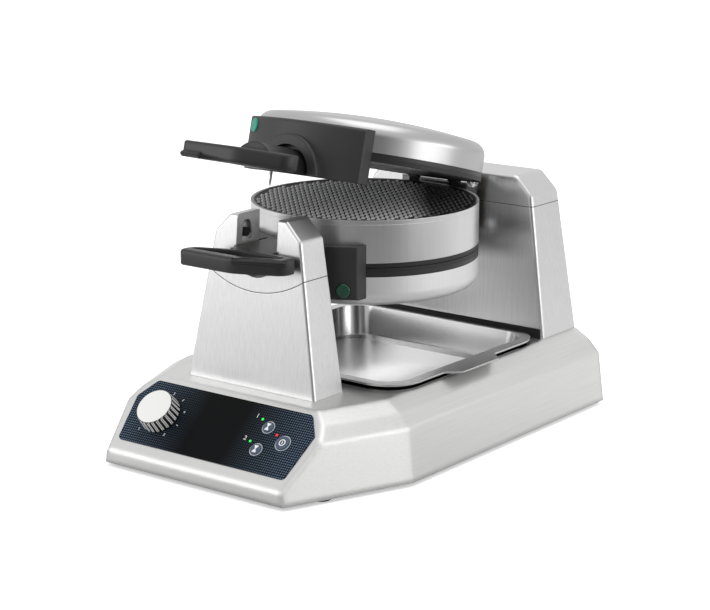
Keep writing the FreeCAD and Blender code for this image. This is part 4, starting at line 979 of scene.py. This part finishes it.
# %% Dark seam lines
tower_seam_radius, cradle_seam_radius = 0.22, 0.25
# limits on a face's normal: up for the first two, then back for a front face and across for a side
looks_down, looks_sideways = -0.6, 0.35
looks_forward, looks_outward = -0.5, 0.8
cap_low, cap_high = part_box("tower_cap")
front_line, side_line, foot_line = cap_low.y + 4 * mm, cap_high.x - 3 * mm, cap_low.z + 1 * mm
cradle_line = drum_centre.z - 5 * mm


def side_faces(edge):
    return [face for face in edge.link_faces if abs(face.normal.z) < looks_sideways]


def middle_height(edge):
    return (edge.verts[0].co.z + edge.verts[1].co.z) / 2


def lower_outer_edge(edge):
    """Edge between a face that looks down and one that looks sideways."""
    down = [face for face in edge.link_faces if face.normal.z < looks_down]
    return len(down) == 1 and len(side_faces(edge)) == 1


def on_tower_outside(edge):
    in_front = min(vertex.co.y for vertex in edge.verts) < front_line
    at_side = max(abs(vertex.co.x) for vertex in edge.verts) > side_line
    return lower_outer_edge(edge) and middle_height(edge) < foot_line and (in_front or at_side)


def on_cradle_outside(edge):
    if not lower_outer_edge(edge) or middle_height(edge) >= cradle_line:
        return False
    normal = side_faces(edge)[0].normal
    return normal.y < looks_forward or abs(normal.x) > looks_outward


tower_edges = seam_line("tower_seam", "tower_cap", on_tower_outside, tower_seam_radius)
cradle_edges = seam_line("cradle_seam", "cradle_cap", on_cradle_outside, cradle_seam_radius)
print("seam edges:", tower_edges, "on the tower,", cradle_edges, "on the cradle")

# %% [markdown]
# ## Studio floor
# The photo is a plain product shot: a white floor that runs out of sight, broad soft light and weak shadows.
# A floor that is white to the lens would also fill every steel side with white.
# So it is white only to the camera; what the steel reflects grows greyer toward the camera.

# %% White floor
floor_glow, floor_reach = 0.45, 12.0
toward_camera = (0.71, -0.71, 0.0)
shade_start, shade_end = -0.1, 0.55

floor_material, floor_tree, floor_shader = surface(
    "studio floor, white", "f6f6f6", roughness=0.9, emission_color=linear("ffffff"),
    emission_strength=floor_glow)
floor_place = add(floor_tree, "ShaderNodeTexCoord").outputs["Object"]
camera_side = add(floor_tree, "ShaderNodeVectorMath", {
    0: floor_place, 1: toward_camera}, operation="DOT_PRODUCT")
shade = add(floor_tree, "ShaderNodeMapRange", {
    "Value": camera_side.outputs["Value"], "From Min": shade_start, "From Max": shade_end})
floor_tint = add(floor_tree, "ShaderNodeMix", {
    0: shade.outputs["Result"], 6: linear("f4f4f4"), 7: linear("8c8c8c")}, data_type="RGBA")
grey_floor = add(floor_tree, "ShaderNodeBsdfDiffuse", {"Color": floor_tint.outputs[2]})
seen = add(floor_tree, "ShaderNodeLightPath").outputs["Is Camera Ray"]
floor_mix = add(floor_tree, "ShaderNodeMixShader", {
    0: seen, 1: grey_floor.outputs[0], 2: floor_shader.outputs[0]})
floor_tree.links.new(floor_mix.outputs[0], floor_tree.nodes["Material Output"].inputs["Surface"])
floor_corners = [(x * floor_reach, y * floor_reach, 0) for x, y in ((-1, -1), (1, -1), (1, 1), (-1, 1))]
floor = mesh_object("floor", from_points(floor_corners, [(0, 1, 2, 3)]), floor_material)
print("floor:", 2 * floor_reach, "m wide")

# %% [markdown]
# ## Studio light
# A bright world lights everything evenly, with one dark patch in front that the steel mirrors as soft bands.
# Three large panels above, left and right add the broad highlights that show where the sheet is folded.
# Small lamps would be simpler, but on brushed steel they leave hard streaks.

# %% World
sky_strength = 0.95
patch_direction = Vector((0.64, -0.77, 0.0))
patch_edge, patch_core = math.cos(math.radians(34)), math.cos(math.radians(10))

world = bpy.data.worlds.new("studio")
bpy.context.scene.world = world
world.use_nodes = True
sky = world.node_tree
sky_place = add(sky, "ShaderNodeTexCoord").outputs["Generated"]
toward_patch = add(sky, "ShaderNodeVectorMath", {0: sky_place, 1: patch_direction}, operation="DOT_PRODUCT")
dark_patch = add(sky, "ShaderNodeMapRange", {
    "Value": toward_patch.outputs["Value"], "From Min": patch_edge, "From Max": patch_core,
}, interpolation_type="SMOOTHSTEP")
sky_tint = add(sky, "ShaderNodeMix", {
    0: dark_patch.outputs["Result"], 6: linear("f4f4f4"), 7: linear("3c3c3c")}, data_type="RGBA")
sky_light = sky.nodes["Background"]
sky_light.inputs["Strength"].default_value = sky_strength
sky.links.new(sky_tint.outputs[2], sky_light.inputs["Color"])
backdrop = add(sky, "ShaderNodeBackground", {"Color": linear("ffffff"), "Strength": 1.0})
in_view = add(sky, "ShaderNodeLightPath").outputs["Is Camera Ray"]
sky_mix = add(sky, "ShaderNodeMixShader", {0: in_view, 1: sky_light.outputs[0], 2: backdrop.outputs[0]})
sky.links.new(sky_mix.outputs[0], sky.nodes["World Output"].inputs["Surface"])
print("world strength", sky_strength)

# %% Light panels
# place, the point it is aimed at and size in metres, then power in watts
light_panels = {
    "top panel": ((0.1, 0.1, 1.6), (0, 0, 0.1), (1.4, 1.0), 6),
    "left panel": ((-1.05, -1.4, 0.5), (0, 0, 0.15), (1.0, 0.8), 5.5),
    "right panel": ((1.65, 0.35, 0.34), (0, 0, 0.08), (1.4, 0.5), 5.5),
}
for name, (place, target, size, power) in light_panels.items():
    panel = bpy.data.lights.new(name, "AREA")
    panel.shape = "RECTANGLE"
    panel.size, panel.size_y = size
    panel.energy = power
    made = in_scene(name, panel)
    made.location = place
    made.rotation_euler = (Vector(target) - Vector(place)).to_track_quat("-Z", "Y").to_euler()
print("light panels:", len(light_panels))

# %% [markdown]
# ## Camera
# The picture was taken from the right and a little above, from far off, so upright edges stay nearly upright.
# A long lens with a small shift keeps the machine where it stands in the photo.
# Turning the camera instead of shifting it would change how those edges converge.

# %% Camera
turn, tilt, roll = math.radians(37.4433), math.radians(13.0548), math.radians(0.1237)
camera_place = Vector((0.9779, -1.2807, 0.4988))
level_right = Vector((math.cos(turn), math.sin(turn), 0))
backward = Vector((math.sin(turn) * math.cos(tilt), -math.cos(turn) * math.cos(tilt), math.sin(tilt)))
level_up = level_right.cross(-backward)
rolled_right = level_right * math.cos(roll) + level_up * math.sin(roll)
rolled_up = level_up * math.cos(roll) - level_right * math.sin(roll)
camera_data = bpy.data.cameras.new("camera")
camera_data.sensor_width, camera_data.lens = 36, 104.16
camera_data.shift_x, camera_data.shift_y = 0.0118, -0.0373
camera = in_scene("camera", camera_data)
camera.matrix_world = Matrix((rolled_right, rolled_up, backward)).transposed().to_4x4()
camera.matrix_world.translation = camera_place
bpy.context.scene.camera = camera
bpy.context.scene.view_settings.view_transform = "Standard"
print("camera stands", round((camera_place - drum_centre).length, 2), "m from the drum")
